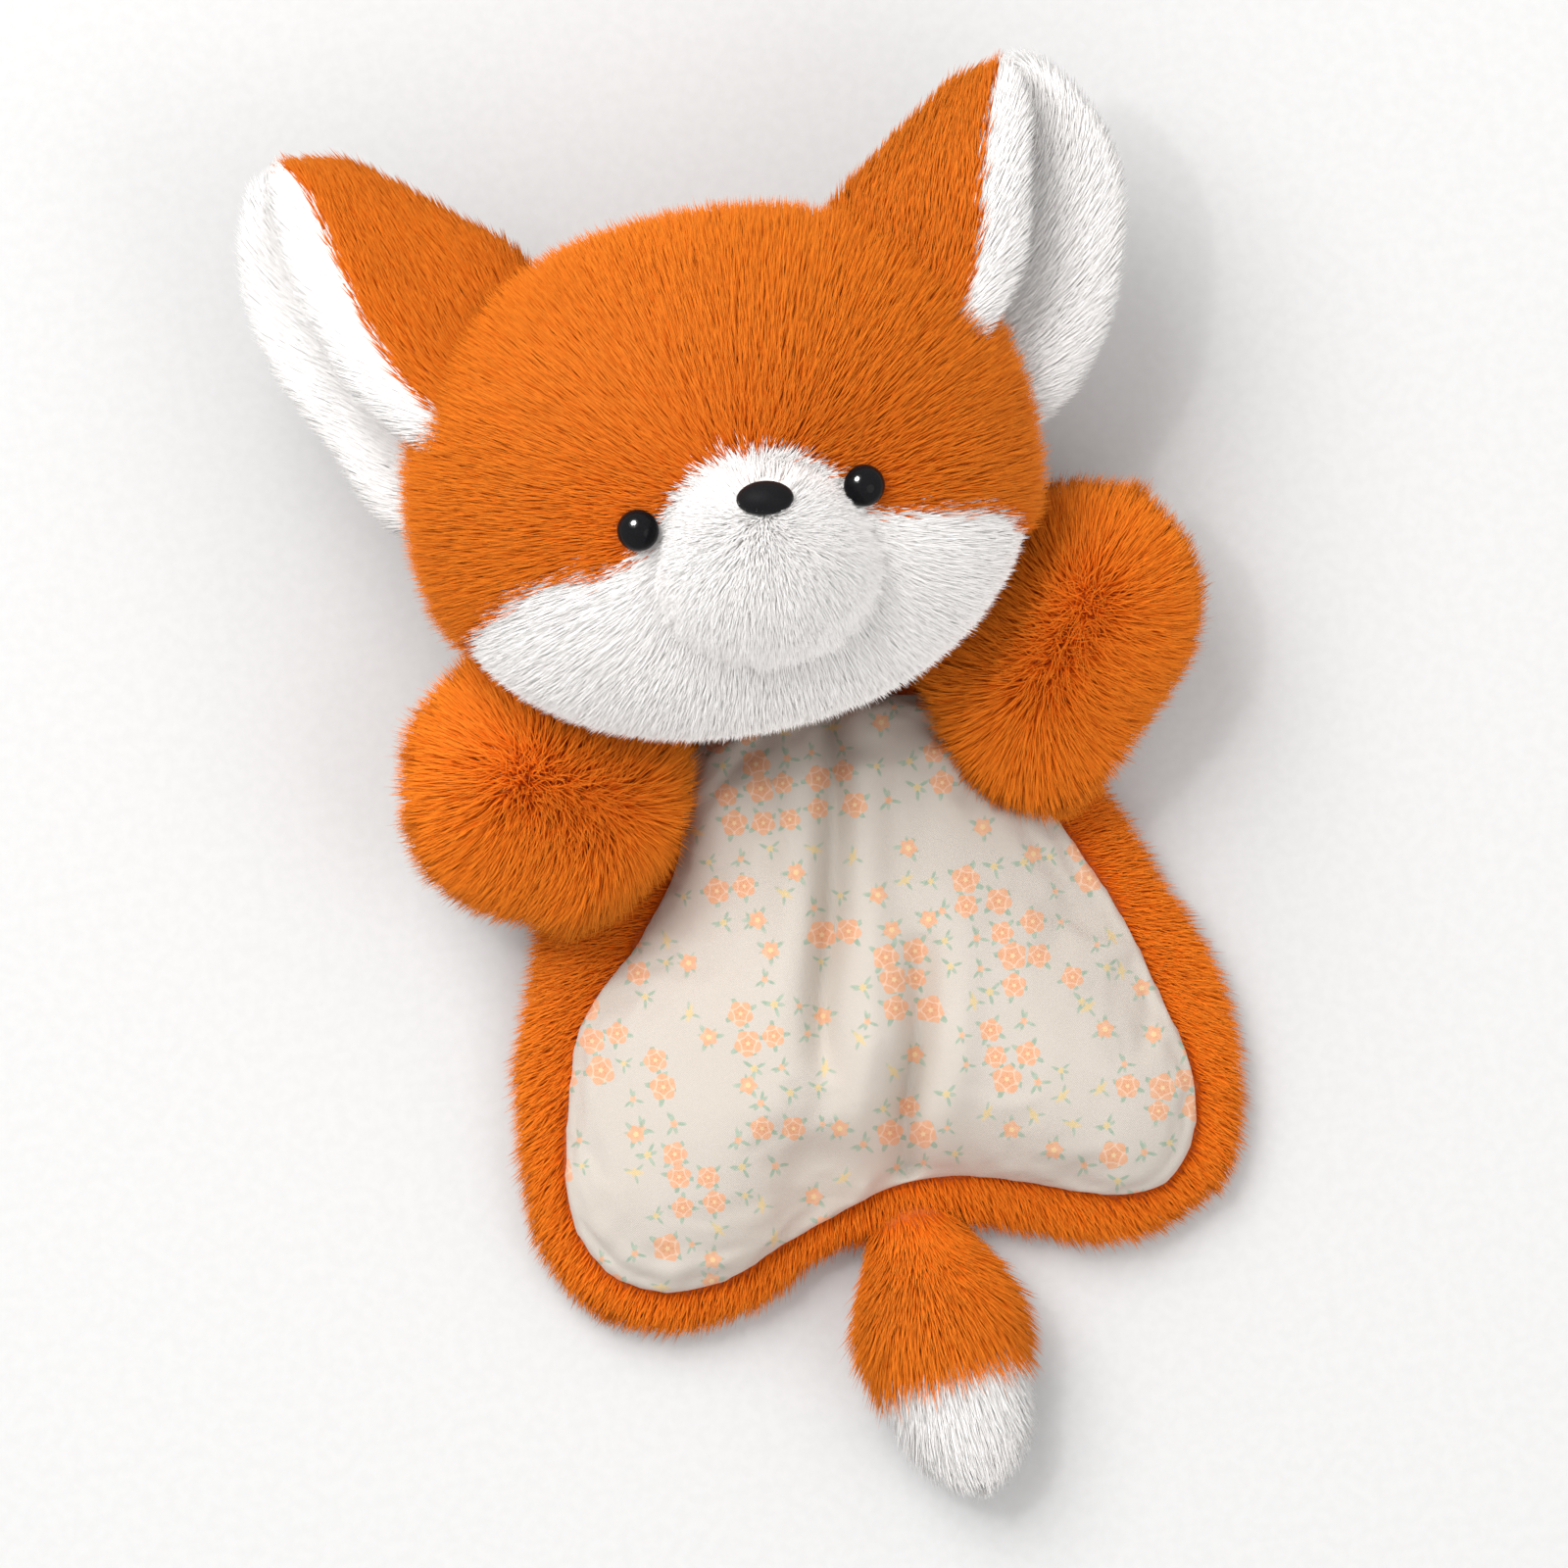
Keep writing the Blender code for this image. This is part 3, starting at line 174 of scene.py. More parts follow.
# Ears: rows from tip to root, in shares of reach and rise from the head's middle
EAR_REACH = 0.0850
EAR_RISE = 0.0800
EAR_TIP_LEVEL = 0.0520
EAR_FRONT_LEVEL = 0.0660
EAR_FOLD_LEVEL = 0.0530
EAR_SIDE_LEVEL = 0.0440
EAR_BULGE = 0.0050
EAR_LIP = 0.0075
EAR_LIP_DROP = 0.0050
EAR_LIP_COLUMNS = 7
EAR_WHITE_RIM = 0.82
EAR_SHARES = {
    "ear_right": (
        (0.84, 0.97, 0.87, 0.97, 0.90, 0.97), (0.74, 0.94, 0.83, 0.90, 0.96, 0.91),
        (0.63, 0.85, 0.80, 0.77, 1.00, 0.78), (0.53, 0.76, 0.77, 0.64, 1.00, 0.62),
        (0.42, 0.66, 0.73, 0.50, 0.96, 0.46), (0.35, 0.54, 0.67, 0.36, 0.87, 0.26),
        (0.28, 0.42, 0.58, 0.24, 0.78, 0.06), (0.20, 0.30, 0.48, 0.14, 0.62, -0.04),
    ),
    "ear_left": (
        (0.80, 0.86, 0.83, 0.86, 0.87, 0.86), (0.73, 0.84, 0.80, 0.79, 0.94, 0.85),
        (0.62, 0.76, 0.76, 0.69, 1.02, 0.72), (0.52, 0.68, 0.73, 0.58, 1.05, 0.56),
        (0.43, 0.61, 0.70, 0.46, 1.02, 0.38), (0.35, 0.50, 0.65, 0.34, 0.95, 0.20),
        (0.28, 0.40, 0.56, 0.22, 0.82, 0.04), (0.20, 0.28, 0.46, 0.12, 0.64, -0.04),
    ),
}

# View of the photograph: straight down, the toy leaning to the left
VIEW_LEAN = math.radians(11.3)
VIEW_AIM = Vector((-0.0059, 0.0453, 0.045))
VIEW_WIDTH = 0.320
VIEW_DISTANCE = 4.00
SENSOR = 36.0


def length_property(label, note, value):
    return FloatProperty(name=label, description=note, default=value, unit="LENGTH")


def colour_property(label, note, *value):
    return FloatVectorProperty(name=label, description=note, subtype="COLOR", size=4, default=(*value, 1.0))


class FoxSizes(bpy.types.PropertyGroup):
    """Sizes a user would change."""

    head_pile: length_property("Head pile", "Length of the pile on the head", 0.0082)
    face_pile: length_property("Face pile", "Length of the white pile on the face", 0.0052)
    body_pile: length_property("Body pile", "Length of the pile on the body and arms", 0.0085)
    tail_pile: length_property("Tail pile", "Length of the pile on the tail", 0.0095)
    ear_pile: length_property("Ear pile", "Length of the pile on the ears", 0.0052)
    pile_rise: length_property("Pile rise", "Depth of the backing below the fur's outline", 0.0040)
    strand_width: length_property("Strand width", "Width of one strand at its root", 0.00046)
    density: FloatProperty(
        name="Strands", description="Strands on a square millimetre of the head", default=4.0, min=0.1
    )
    puff: FloatProperty(name="Puff", description="Air pressure that rounds the cotton panel", default=4.0)
    seed: IntProperty(name="Seed", description="Number that the strands' places start from", default=7)


class FoxColours(bpy.types.PropertyGroup):
    """Colours a user would change."""

    orange_root: colour_property("Orange root", "Pile at the backing", 0.480, 0.075, 0.002)
    orange_middle: colour_property("Orange middle", "Middle of the pile", 0.650, 0.122, 0.005)
    orange_tip: colour_property("Orange tip", "Ends of the pile", 0.745, 0.212, 0.017)
    white_root: colour_property("White root", "White pile at the backing", 0.980, 0.952, 0.932)
    white_tip: colour_property("White tip", "Ends of the white pile", 0.996, 0.974, 0.958)
    cotton: colour_property("Cotton", "Ground of the printed cotton", 0.535, 0.482, 0.427)
    blossom: colour_property("Blossom", "Petals of the print", 0.690, 0.345, 0.195)
    leaf: colour_property("Leaf", "Leaves of the print", 0.290, 0.375, 0.290)
    small_bloom: colour_property("Small bloom", "Pale sprigs of the print", 0.640, 0.490, 0.260)
    # Painted light: the pile of the body and limbs is the same orange made brighter, to make up for the
    # shade that pile casts on itself
    body_painted_light: FloatProperty(
        name="Body tone", description="Brightness of the orange on the body and limbs, against the head's",
        default=1.26,
    )
    bead: colour_property("Bead", "Eyes and nose", 0.006, 0.006, 0.007)


def sizes():
    return bpy.context.scene.fox_sizes


def colours():
    return bpy.context.scene.fox_colours


# Nodes


class Tree:
    """Short way to write nodes: a socket given as a value is linked, and any other value is set."""

    def __init__(self, tree):
        self.nodes, self.links = tree.nodes, tree.links

    def put(self, socket, value):
        if isinstance(value, bpy.types.NodeSocket):
            self.links.new(value, socket)
        else:
            socket.default_value = value

    def node(self, kind, inputs=(), **settings):
        made = self.nodes.new(kind)
        for key, value in settings.items():
            setattr(made, key, value)
        for socket, value in dict(inputs).items():
            self.put(made.inputs[socket], value)
        return made

    def maths(self, operation, *values):
        return self.node("ShaderNodeMath", enumerate(values), operation=operation).outputs[0]

    def vector(self, operation, *values):
        made = self.node("ShaderNodeVectorMath", enumerate(values), operation=operation)
        return made.outputs["Value" if operation in ("LENGTH", "DISTANCE") else "Vector"]

    def scaled(self, direction, amount):
        inputs = {0: direction, "Scale": amount}
        return self.node("ShaderNodeVectorMath", inputs, operation="SCALE").outputs[0]

    def parts(self, place):
        return self.node("ShaderNodeSeparateXYZ", {0: place}).outputs

    def joined(self, x, y, z):
        return self.node("ShaderNodeCombineXYZ", {0: x, 1: y, 2: z}).outputs[0]

    def seen(self):
        """1 for what the camera sees, straight or through a reflection or a pane."""
        rays = self.node("ShaderNodeLightPath").outputs
        seen = rays["Is Camera Ray"]
        for way in ("Is Glossy Ray", "Is Transmission Ray"):
            seen = self.maths("MAXIMUM", seen, rays[way])
        return seen

    def noise(self, place, scale, detail=2.0, output="Fac"):
        inputs = {"Vector": place, "Scale": scale, "Detail": detail}
        return self.node("ShaderNodeTexNoise", inputs).outputs[output]


class Graph(Tree):
    """Nodes of a new material."""

    def __init__(self, name):
        self.material = bpy.data.materials.new(name)
        self.material.use_nodes = True
        super().__init__(self.material.node_tree)
        self.shader = self.nodes["Principled BSDF"]

    def place(self):
        return self.node("ShaderNodeTexCoord").outputs["Object"]

    def fixed(self, socket, value):
        """Value that is the same all over the surface."""
        self.shader.inputs[socket].default_value = value

    def mix(self, share, low, high, blend="MIX"):
        inputs = {0: share, 6: low, 7: high}
        return self.node("ShaderNodeMix", inputs, data_type="RGBA", blend_type=blend).outputs[2]

    def ramp(self, value, stops):
        made = self.node("ShaderNodeValToRGB", {"Fac": value})
        elements = made.color_ramp.elements
        while len(elements) < len(stops):
            elements.new(0.5)
        for element, (place, colour) in zip(elements, stops):
            element.position = place
            element.color = colour
        return made.outputs["Color"]

    def smooth(self, value, low, high, start=0.0, end=1.0):
        limits = {"Value": value, "From Min": low, "From Max": high, "To Min": start, "To Max": end}
        return self.node("ShaderNodeMapRange", limits, interpolation_type="SMOOTHSTEP").outputs["Result"]

    def shaded(self, colour, shade):
        """Colour times a brightness."""
        grey = self.node("ShaderNodeCombineColor", dict.fromkeys(range(3), shade)).outputs["Color"]
        return self.mix(1.0, colour, grey, "MULTIPLY")

    def finish(self, colour, roughness, height=None, bump=0.3, distance=0.0005):
        self.put(self.shader.inputs["Base Color"], colour)
        self.put(self.shader.inputs["Roughness"], roughness)
        if height is not None:
            bumped = self.node("ShaderNodeBump", {"Strength": bump, "Distance": distance, "Height": height})
            self.links.new(bumped.outputs["Normal"], self.shader.inputs["Normal"])
        return self.material


# Materials

KNIT_SCALE = 900.0
# Second tones of the print and its weave
PALE_COTTON = (0.575, 0.527, 0.480, 1.0)
WASHED_BLOSSOM = (0.70, 0.46, 0.32, 1.0)
WASHED_LEAF = (0.42, 0.48, 0.39, 1.0)
PETAL_EDGE = (0.78, 0.60, 0.47, 1.0)
PETAL_SHADE = (0.58, 0.24, 0.12, 1.0)
BLOOM_EYE = (0.76, 0.58, 0.34, 1.0)
SINGLE_EYE = (0.74, 0.56, 0.30, 1.0)
THREADS = 14000.0


def orange_pile(name="orange_pile", tone=1.0):
    paint = colours()
    shades = (paint.orange_root, paint.orange_middle, paint.orange_tip)
    # A tone above 1 gives a brighter copy of the same pile: painted light, as on the body and limbs
    return pile_material(name, *((*(min(part * tone, 1.0) for part in shade[:3]), 1.0) for shade in shades))


def body_pile():
    """The brighter pile of the body and the limbs: the orange pile made lighter, as painted light against
    the shade that the pile casts on itself.
    """
    return orange_pile("orange_body_pile", colours().body_painted_light)


def white_pile():
    paint = colours()
    return pile_material("white_pile", paint.white_root, paint.white_tip, paint.white_tip)


def pile_material(name, root, middle, tip):
    """Strands coloured from root to tip, each with its own tone."""
    known = bpy.data.materials.get(name)
    if known is not None:
        return known
    graph = Graph(name)
    tone, along, _ = graph.parts(graph.node("ShaderNodeUVMap", uv_map="OFBake").outputs["UV"])
    base = graph.ramp(along, ((0.0, root), (0.45, middle), (1.0, tip)))
    graph.fixed("Sheen Weight", 0.08)
    graph.fixed("Sheen Roughness", 0.45)
    graph.fixed("Sheen Tint", tip)
    graph.fixed("Specular IOR Level", 0.08)
    colour = graph.shaded(base, graph.smooth(tone, 0.0, 1.0, 0.87, 1.08))
    return graph.finish(colour, graph.smooth(along, 0.0, 1.0, 0.85, 0.6))


def knitted(graph, fleck, colour):
    """Finish of the knitted backing that shows between the strands."""
    return graph.finish(colour, graph.smooth(fleck, 0.2, 0.8, 0.95, 0.8), fleck, 0.8, 0.0008)


def orange_backing():
    """Plain orange backing."""
    known = bpy.data.materials.get("orange_backing")
    if known is not None:
        return known
    low, high = colours().orange_root, colours().orange_middle
    graph = Graph("orange_backing")
    place = graph.place()
    fleck, patch = graph.noise(place, KNIT_SCALE, 3.0), graph.noise(place, 60.0)
    colour = graph.mix(graph.smooth(fleck, 0.3, 0.7), low, high)
    graph.fixed("Sheen Weight", 0.3)
    return knitted(graph, fleck, graph.mix(graph.smooth(patch, 0.35, 0.75, 0.0, 0.5), colour, low))


def two_tone_backing(name):
    """Backing that turns from orange to white where the mesh says so."""
    paint = colours()
    graph = Graph(name)
    fleck = graph.noise(graph.place(), KNIT_SCALE, 3.0)
    speckle = graph.smooth(fleck, 0.3, 0.7)
    white = graph.node("ShaderNodeAttribute", attribute_name="white").outputs["Fac"]
    orange = graph.mix(speckle, paint.orange_root, paint.orange_middle)
    pale = graph.mix(speckle, paint.white_root, paint.white_tip)
    return knitted(graph, fleck, graph.mix(graph.smooth(white, 0.35, 0.65), orange, pale))


def cotton_material():
    """Cream cotton with a small printed pattern, each bloom drawn round the middle of its own cell."""
    paint = colours()
    graph = Graph("print_cotton")
    maths, mix, smooth, vector = graph.maths, graph.mix, graph.smooth, graph.vector
    flat = vector("MULTIPLY", graph.place(), FLAT)

    def cells(scale, shift, randomness, spot=flat):
        """Place measured from the middle of its cell, two random numbers of the cell, and its middle."""
        moved = vector("ADD", spot, shift)
        inputs = {"Vector": moved, "Scale": scale, "Randomness": randomness}
        made = graph.node("ShaderNodeTexVoronoi", inputs, voronoi_dimensions="2D").outputs
        pick, spin, _ = graph.node("ShaderNodeSeparateColor", {0: made["Color"]}).outputs
        return vector("SUBTRACT", moved, made["Position"]), pick, spin, made["Position"]

    def product(first, second):
        return maths("MULTIPLY", first, second)

    def wave(local, turn, petals):
        """Rises and falls once for each petal round a middle."""
        x, y, _ = graph.parts(local)
        return maths("COSINE", maths("MULTIPLY_ADD", maths("ARCTAN2", y, x), petals, turn))

    def within(local, edge):
        """How far inside an edge a place is, from 1 at the middle to 0 there."""
        return maths("SUBTRACT", 1.0, maths("DIVIDE", vector("LENGTH", local), edge))

    def rosette(local, turn, size, depth):
        """How far inside the outline of a bloom of five petals a place is."""
        return within(local, maths("MULTIPLY_ADD", wave(local, turn, 5.0), size * depth, size))

    def spray(local, turn, reach, leaves, width=2.2):
        """How far inside narrow pointed leaves a place is."""
        lobe = maths("POWER", maths("MAXIMUM", wave(local, turn, leaves), 0.0), width)
        return within(local, maths("MULTIPLY_ADD", lobe, reach, 0.0002))

    def printed(colour, layers):
        """Colour under motifs: how far inside each a place is, where it is drawn, ink, edge, strength."""
        for inside, where, ink, edge, strength in layers:
            colour = mix(smooth(product(inside, where), 0.0, edge, 0.0, strength), colour, ink)
        return colour

    wash = graph.noise(flat, 700.0, 2.0)
    patch = smooth(graph.noise(flat, 55.0), 0.3, 0.7, 0.0, 0.25)
    colour = mix(patch, paint.cotton, PALE_COTTON)
    pale_blossom = mix(smooth(wash, 0.3, 0.7, 0.1, 0.6), paint.blossom, WASHED_BLOSSOM)
    pale_leaf = mix(smooth(wash, 0.3, 0.7, 0.0, 0.6), paint.leaf, WASHED_LEAF)

    # Clusters: a bloom is drawn whole where the middle of its cell lies in a crowd
    crowd_shift = (0.0040, 0.0110, 0.0)
    crowd_scale, bloom_scale, sprig_scale = 43.0, 160.0, 122.0

    def crowds(heart):
        """How far the middle of a cell lies from its cluster's, and how big that cluster is."""
        _, cluster_pick, _, cluster = cells(crowd_scale, crowd_shift, 0.72, heart)
        apart = vector("DISTANCE", vector("ADD", heart, crowd_shift), cluster)
        return apart, smooth(cluster_pick, 0.10, 0.90, 0.0038, 0.0082)

    local, pick, spin, heart = cells(bloom_scale, (0.0, 0.0, 0.0), 0.34)
    local = graph.scaled(local, smooth(pick, 0.0, 1.0, 1.32, 0.94))
    apart, crowd_size = crowds(heart)
    crowd = maths("LESS_THAN", apart, crowd_size)
    margin = maths("LESS_THAN", apart, maths("ADD", crowd_size, 0.0048))
    margin = product(maths("SUBTRACT", margin, crowd), maths("GREATER_THAN", pick, 0.25))
    turn = product(spin, math.tau)
    other_turn, heart_turn = maths("ADD", turn, 2.4), maths("ADD", turn, math.pi)
    bud = mix(maths("GREATER_THAN", spin, 0.5), pale_blossom, paint.small_bloom)
    bloom = product(rosette(local, turn, 0.00285, 0.09), crowd)
    heart_round = product(rosette(local, heart_turn, 0.00165, 0.12), crowd)
    colour = printed(colour, (
        (spray(local, other_turn, 0.0046, 4.0, 1.2), crowd, pale_leaf, 0.2, 0.95),
        (spray(local, turn, 0.0028, 3.0), margin, pale_leaf, 0.3, 0.95),
        (spray(local, other_turn, 0.0021, 2.0), margin, pale_leaf, 0.3, 0.8),
        (rosette(local, turn, 0.0008, 0.2), margin, bud, 0.2, 0.9),
        (bloom, 1.0, mix(0.35, pale_blossom, paint.blossom), 0.08, 0.95),
        (heart_round, 1.0, paint.blossom, 0.10, 0.5),
    ))

    def petal_gap(shift):
        """Narrow clefts between five petals."""
        return smooth(wave(local, shift, 5.0), -0.60, -0.98)

    outside = product(smooth(bloom, 0.0, 0.12), smooth(heart_round, 0.02, -0.02))
    inside = product(petal_gap(heart_turn), smooth(heart_round, 0.10, 0.20))
    border = product(smooth(heart_round, -0.16, 0.0), smooth(heart_round, 0.16, 0.02))
    pale_edge = maths("MAXIMUM", product(petal_gap(turn), outside), product(border, crowd))
    eye = product(smooth(heart_round, 0.66, 0.80), crowd)
    lines = ((pale_edge, 0.55, PETAL_EDGE), (inside, 0.45, PETAL_SHADE), (eye, 0.8, BLOOM_EYE))
    for share, strength, ink in lines:
        colour = mix(product(share, strength), colour, ink)

    # Pale sprigs and single small blooms scattered between the clusters
    sprig_shift = (0.0130, 0.0070, 0.0)
    local, pick, spin, heart = cells(sprig_scale, sprig_shift, 0.80)
    apart, crowd_size = crowds(vector("SUBTRACT", heart, sprig_shift))
    free = maths("GREATER_THAN", apart, maths("ADD", crowd_size, 0.0050))
    free = product(free, maths("GREATER_THAN", pick, 0.08))
    single = product(free, maths("GREATER_THAN", pick, 0.62))
    turn = product(spin, math.tau)
    other_turn = maths("ADD", turn, 2.2)
    colour = printed(colour, (
        (spray(local, turn, 0.0026, 3.0), free, pale_leaf, 0.3, 0.8),
        (spray(local, other_turn, 0.0020, 2.0), free, paint.small_bloom, 0.3, 0.7),
        (spray(local, other_turn, 0.0034, 3.0, 1.6), single, pale_leaf, 0.3, 0.9),
        (rosette(local, turn, 0.0009, 0.22), free, paint.small_bloom, 0.2, 0.85),
        (rosette(local, turn, 0.0018, 0.14), single, pale_blossom, 0.12, 0.95),
        (rosette(local, turn, 0.0006, 0.1), single, SINGLE_EYE, 0.2, 0.8),
    ))

    # Plain weave
    x, y, _ = graph.parts(flat)
    across, down = (maths("SINE", product(way, THREADS)) for way in (x, y))
    weave = maths("MULTIPLY_ADD", across, down, product(wash, 1.2))
    graph.fixed("Sheen Weight", 0.15)
    graph.fixed("Specular IOR Level", 0.2)
    colour = graph.shaded(colour, smooth(weave, -1.0, 2.0, 0.95, 1.03))
    return graph.finish(colour, smooth(wash, 0.2, 0.8, 0.92, 0.8), weave, 0.25, 0.0002)


def bead_material(name, colour, low, high, grain):
    """Moulded plastic with a faint surface grain."""
    graph = Graph(name)
    speck = graph.noise(graph.place(), 2600.0, 3.0)
    tint = graph.mix(graph.smooth(speck, 0.4, 0.8, 0.0, 0.5), colour, (0.012, 0.011, 0.012, 1.0))
    graph.fixed("Specular IOR Level", 0.08)
    return graph.finish(tint, graph.smooth(speck, 0.3, 0.7, low, high), speck, grain, 0.0002)


def glint_group():
    """Collection of the beads that the highlight lamp reaches."""
    return bpy.data.collections.get("glint") or bpy.data.collections.new("glint")


# Surfaces


def circle(count):
    """Even directions all round."""
    return np.linspace(0.0, math.tau, count, endpoint=False)


def globe(around, down):
    """Directions all over a ball but for its two ends."""
    return np.meshgrid(circle(around), np.linspace(0.0, math.pi, down)[1:-1])


def between(before, here, after, beyond, t):
    """Smooth curve from one knot to the next."""
    return (
        here + (after - before) * t / 2
        + (2 * before - 5 * here + 4 * after - beyond) * t**2 / 2
        + (3 * here - before - 3 * after + beyond) * t**3 / 2
    )


def smooth_loop(shares, scale_x, scale_y, steps=8):
    """Closed smooth curve through outline shares."""
    knots = np.array(shares) * (scale_x, scale_y)
    before, after, beyond = (np.roll(knots, -turn, axis=0) for turn in (-1, 1, 2))
    loop = [between(before, knots, after, beyond, t) for t in np.arange(steps) / steps]
    return np.stack(loop, axis=1).reshape(-1, 2)


def reaches(loop, angles):
    """Distance from the middle of a loop to its edge in each direction."""
    bearing = np.unwrap(np.arctan2(loop[:, 1], loop[:, 0])) % math.tau
    order = np.argsort(bearing)
    return np.interp(angles % math.tau, bearing[order], np.hypot(*loop.T)[order], period=math.tau)


def along_rows(rows, count):
    """Rows resampled on a smooth curve through them."""
    rows = np.array(rows, float)
    places = np.linspace(0.0, len(rows) - 1.0, count)
    low = np.minimum(places.astype(int), len(rows) - 2)
    t = (places - low).reshape((-1,) + (1,) * (rows.ndim - 1))
    before, beyond = rows[np.maximum(low - 1, 0)], rows[np.minimum(low + 2, len(rows) - 1)]
    return between(before, rows[low], rows[low + 1], beyond, t)


def closed_rings(name, rings, start, end):
    """Closed smooth mesh through rings, with a point at either end."""
    rings = np.array(rings, float)
    rows, count = rings.shape[:2]
    after = [*range(1, count), 0]
    faces = [
        (low + side, low + count + side, low + count + after[side], low + after[side])
        for low in range(0, (rows - 1) * count, count) for side in range(count)
    ]
    last, ends = (rows - 1) * count, rows * count
    for side in range(count):
        faces += [(side, after[side], ends), (last + after[side], last + side, ends + 1)]
    return solid(name, [*rings.reshape(-1, 3), start, end], faces)


def added(name, data):
    """New object in the scene."""
    item = bpy.data.objects.new(name, data)
    bpy.context.scene.collection.objects.link(item)
    return item


def solid(name, points, faces):
    """Closed object whose faces point outwards."""
    mesh = bpy.data.meshes.new(name)
    mesh.from_pydata([tuple(p) for p in points], [], faces)
    bm = bmesh.new()
    bm.from_mesh(mesh)
    bmesh.ops.recalc_face_normals(bm, faces=bm.faces[:])
    bm.to_mesh(mesh)
    bm.free()
    mesh.shade_smooth()
    return added(name, mesh)


def rows_of(elements, field):
    """Vectors of mesh elements as rows of three."""
    found = np.zeros(len(elements) * 3, np.float32)
    elements.foreach_get(field, found)
    return found.reshape(-1, 3).astype(float)


def places_of(item):
    return rows_of(item.data.vertices, "co")


def normals_of(item):
    return rows_of(item.data.vertex_normals, "vector")


def move(item, points):
    item.data.vertices.foreach_set("co", points.astype(np.float32).ravel())
    item.data.update()


def apply_modifiers(item):
    graph = bpy.context.evaluated_depsgraph_get()
    mesh = bpy.data.meshes.new_from_object(item.evaluated_get(graph), depsgraph=graph)
    item.modifiers.clear()
    item.data = mesh


def mark(item, name, values, kind="FLOAT"):
    """Attribute on the points of a mesh, from one value for each or one for all."""
    attribute = item.data.attributes.new(name, kind, "POINT")
    field = "vector"
    if kind == "FLOAT":
        field, values = "value", np.broadcast_to(values, len(item.data.vertices))
    attribute.data.foreach_set(field, np.asarray(values, np.float32).ravel())


def unit(vectors):
    return vectors / np.maximum(np.linalg.norm(vectors, axis=-1, keepdims=True), 1e-9)


def lying(directions, normals):
    """Directions turned into the surface."""
    return unit(directions - normals * np.sum(directions * normals, axis=1, keepdims=True))


def ease(values, low, high):
    share = np.clip((values - low) / (high - low), 0.0, 1.0)
    return share * share * (3.0 - 2.0 * share)


def head_clear(points, gap):
    """Points pushed out of the head, grown by a gap."""
    points = points.copy()
    middle = np.array(HEAD_MIDDLE)
    away = points - middle
    half = np.array([HEAD_HALF.x + gap, HEAD_HALF.y + gap, HEAD_MIDDLE.z + gap])
    share = np.sqrt(np.sum((away / half) ** 2, axis=-1))
    inside = share < 1.0
    points[inside] = middle + away[inside] / share[inside][:, None]
    return points


def under_head(points):
    """Highest level at points that stays clear of the head's underside."""
    gap = 0.003
    across = (points[..., 0] - HEAD_MIDDLE.x) / (HEAD_HALF.x + gap)
    along = (points[..., 1] - HEAD_MIDDLE.y) / (HEAD_HALF.y + gap)
    share = across**2 + along**2
    hang = HEAD_MIDDLE.z - (HEAD_MIDDLE.z + gap) * np.sqrt(np.maximum(0.0, 1.0 - share))
    return np.where(share < 1.0, np.maximum(hang, 0.0), 1.0)


# Pile

PILE_INPUTS = (
    ("Backing", "Geometry", None), ("Strand", "Object", None), ("Density", "Float", 100000.0),
    ("Length", "Float", 0.008), ("Width", "Float", 0.0004), ("Lean", "Float", 1.0), ("Stray", "Float", 0.3),
    ("Drift", "Float", 0.6), ("Lock", "Float", 0.5), ("Softness", "Float", 0.85), ("Uplight", "Float", 0.3),
    ("Floor", "Float", 0.0003), ("Seed", "Int", 1), ("Material", "Material", None),
)


def strand():
    """One strand, a closed three-sided spike of unit width and unit height, bending towards +X."""
    bend_widths = 1.2
    turns = (0.0, math.tau / 3, -math.tau / 3)
    corners = [(0.5 * math.cos(turn), 0.5 * math.sin(turn), 0.0) for turn in turns]
    faces = [(0, 2, 1), (0, 1, 3), (1, 2, 3), (2, 0, 3)]
    item = solid("strand", [*corners, (bend_widths, 0.0, 1.0)], faces)
    mark(item, "along", (0.0, 0.0, 0.0, 1.0))
    return item


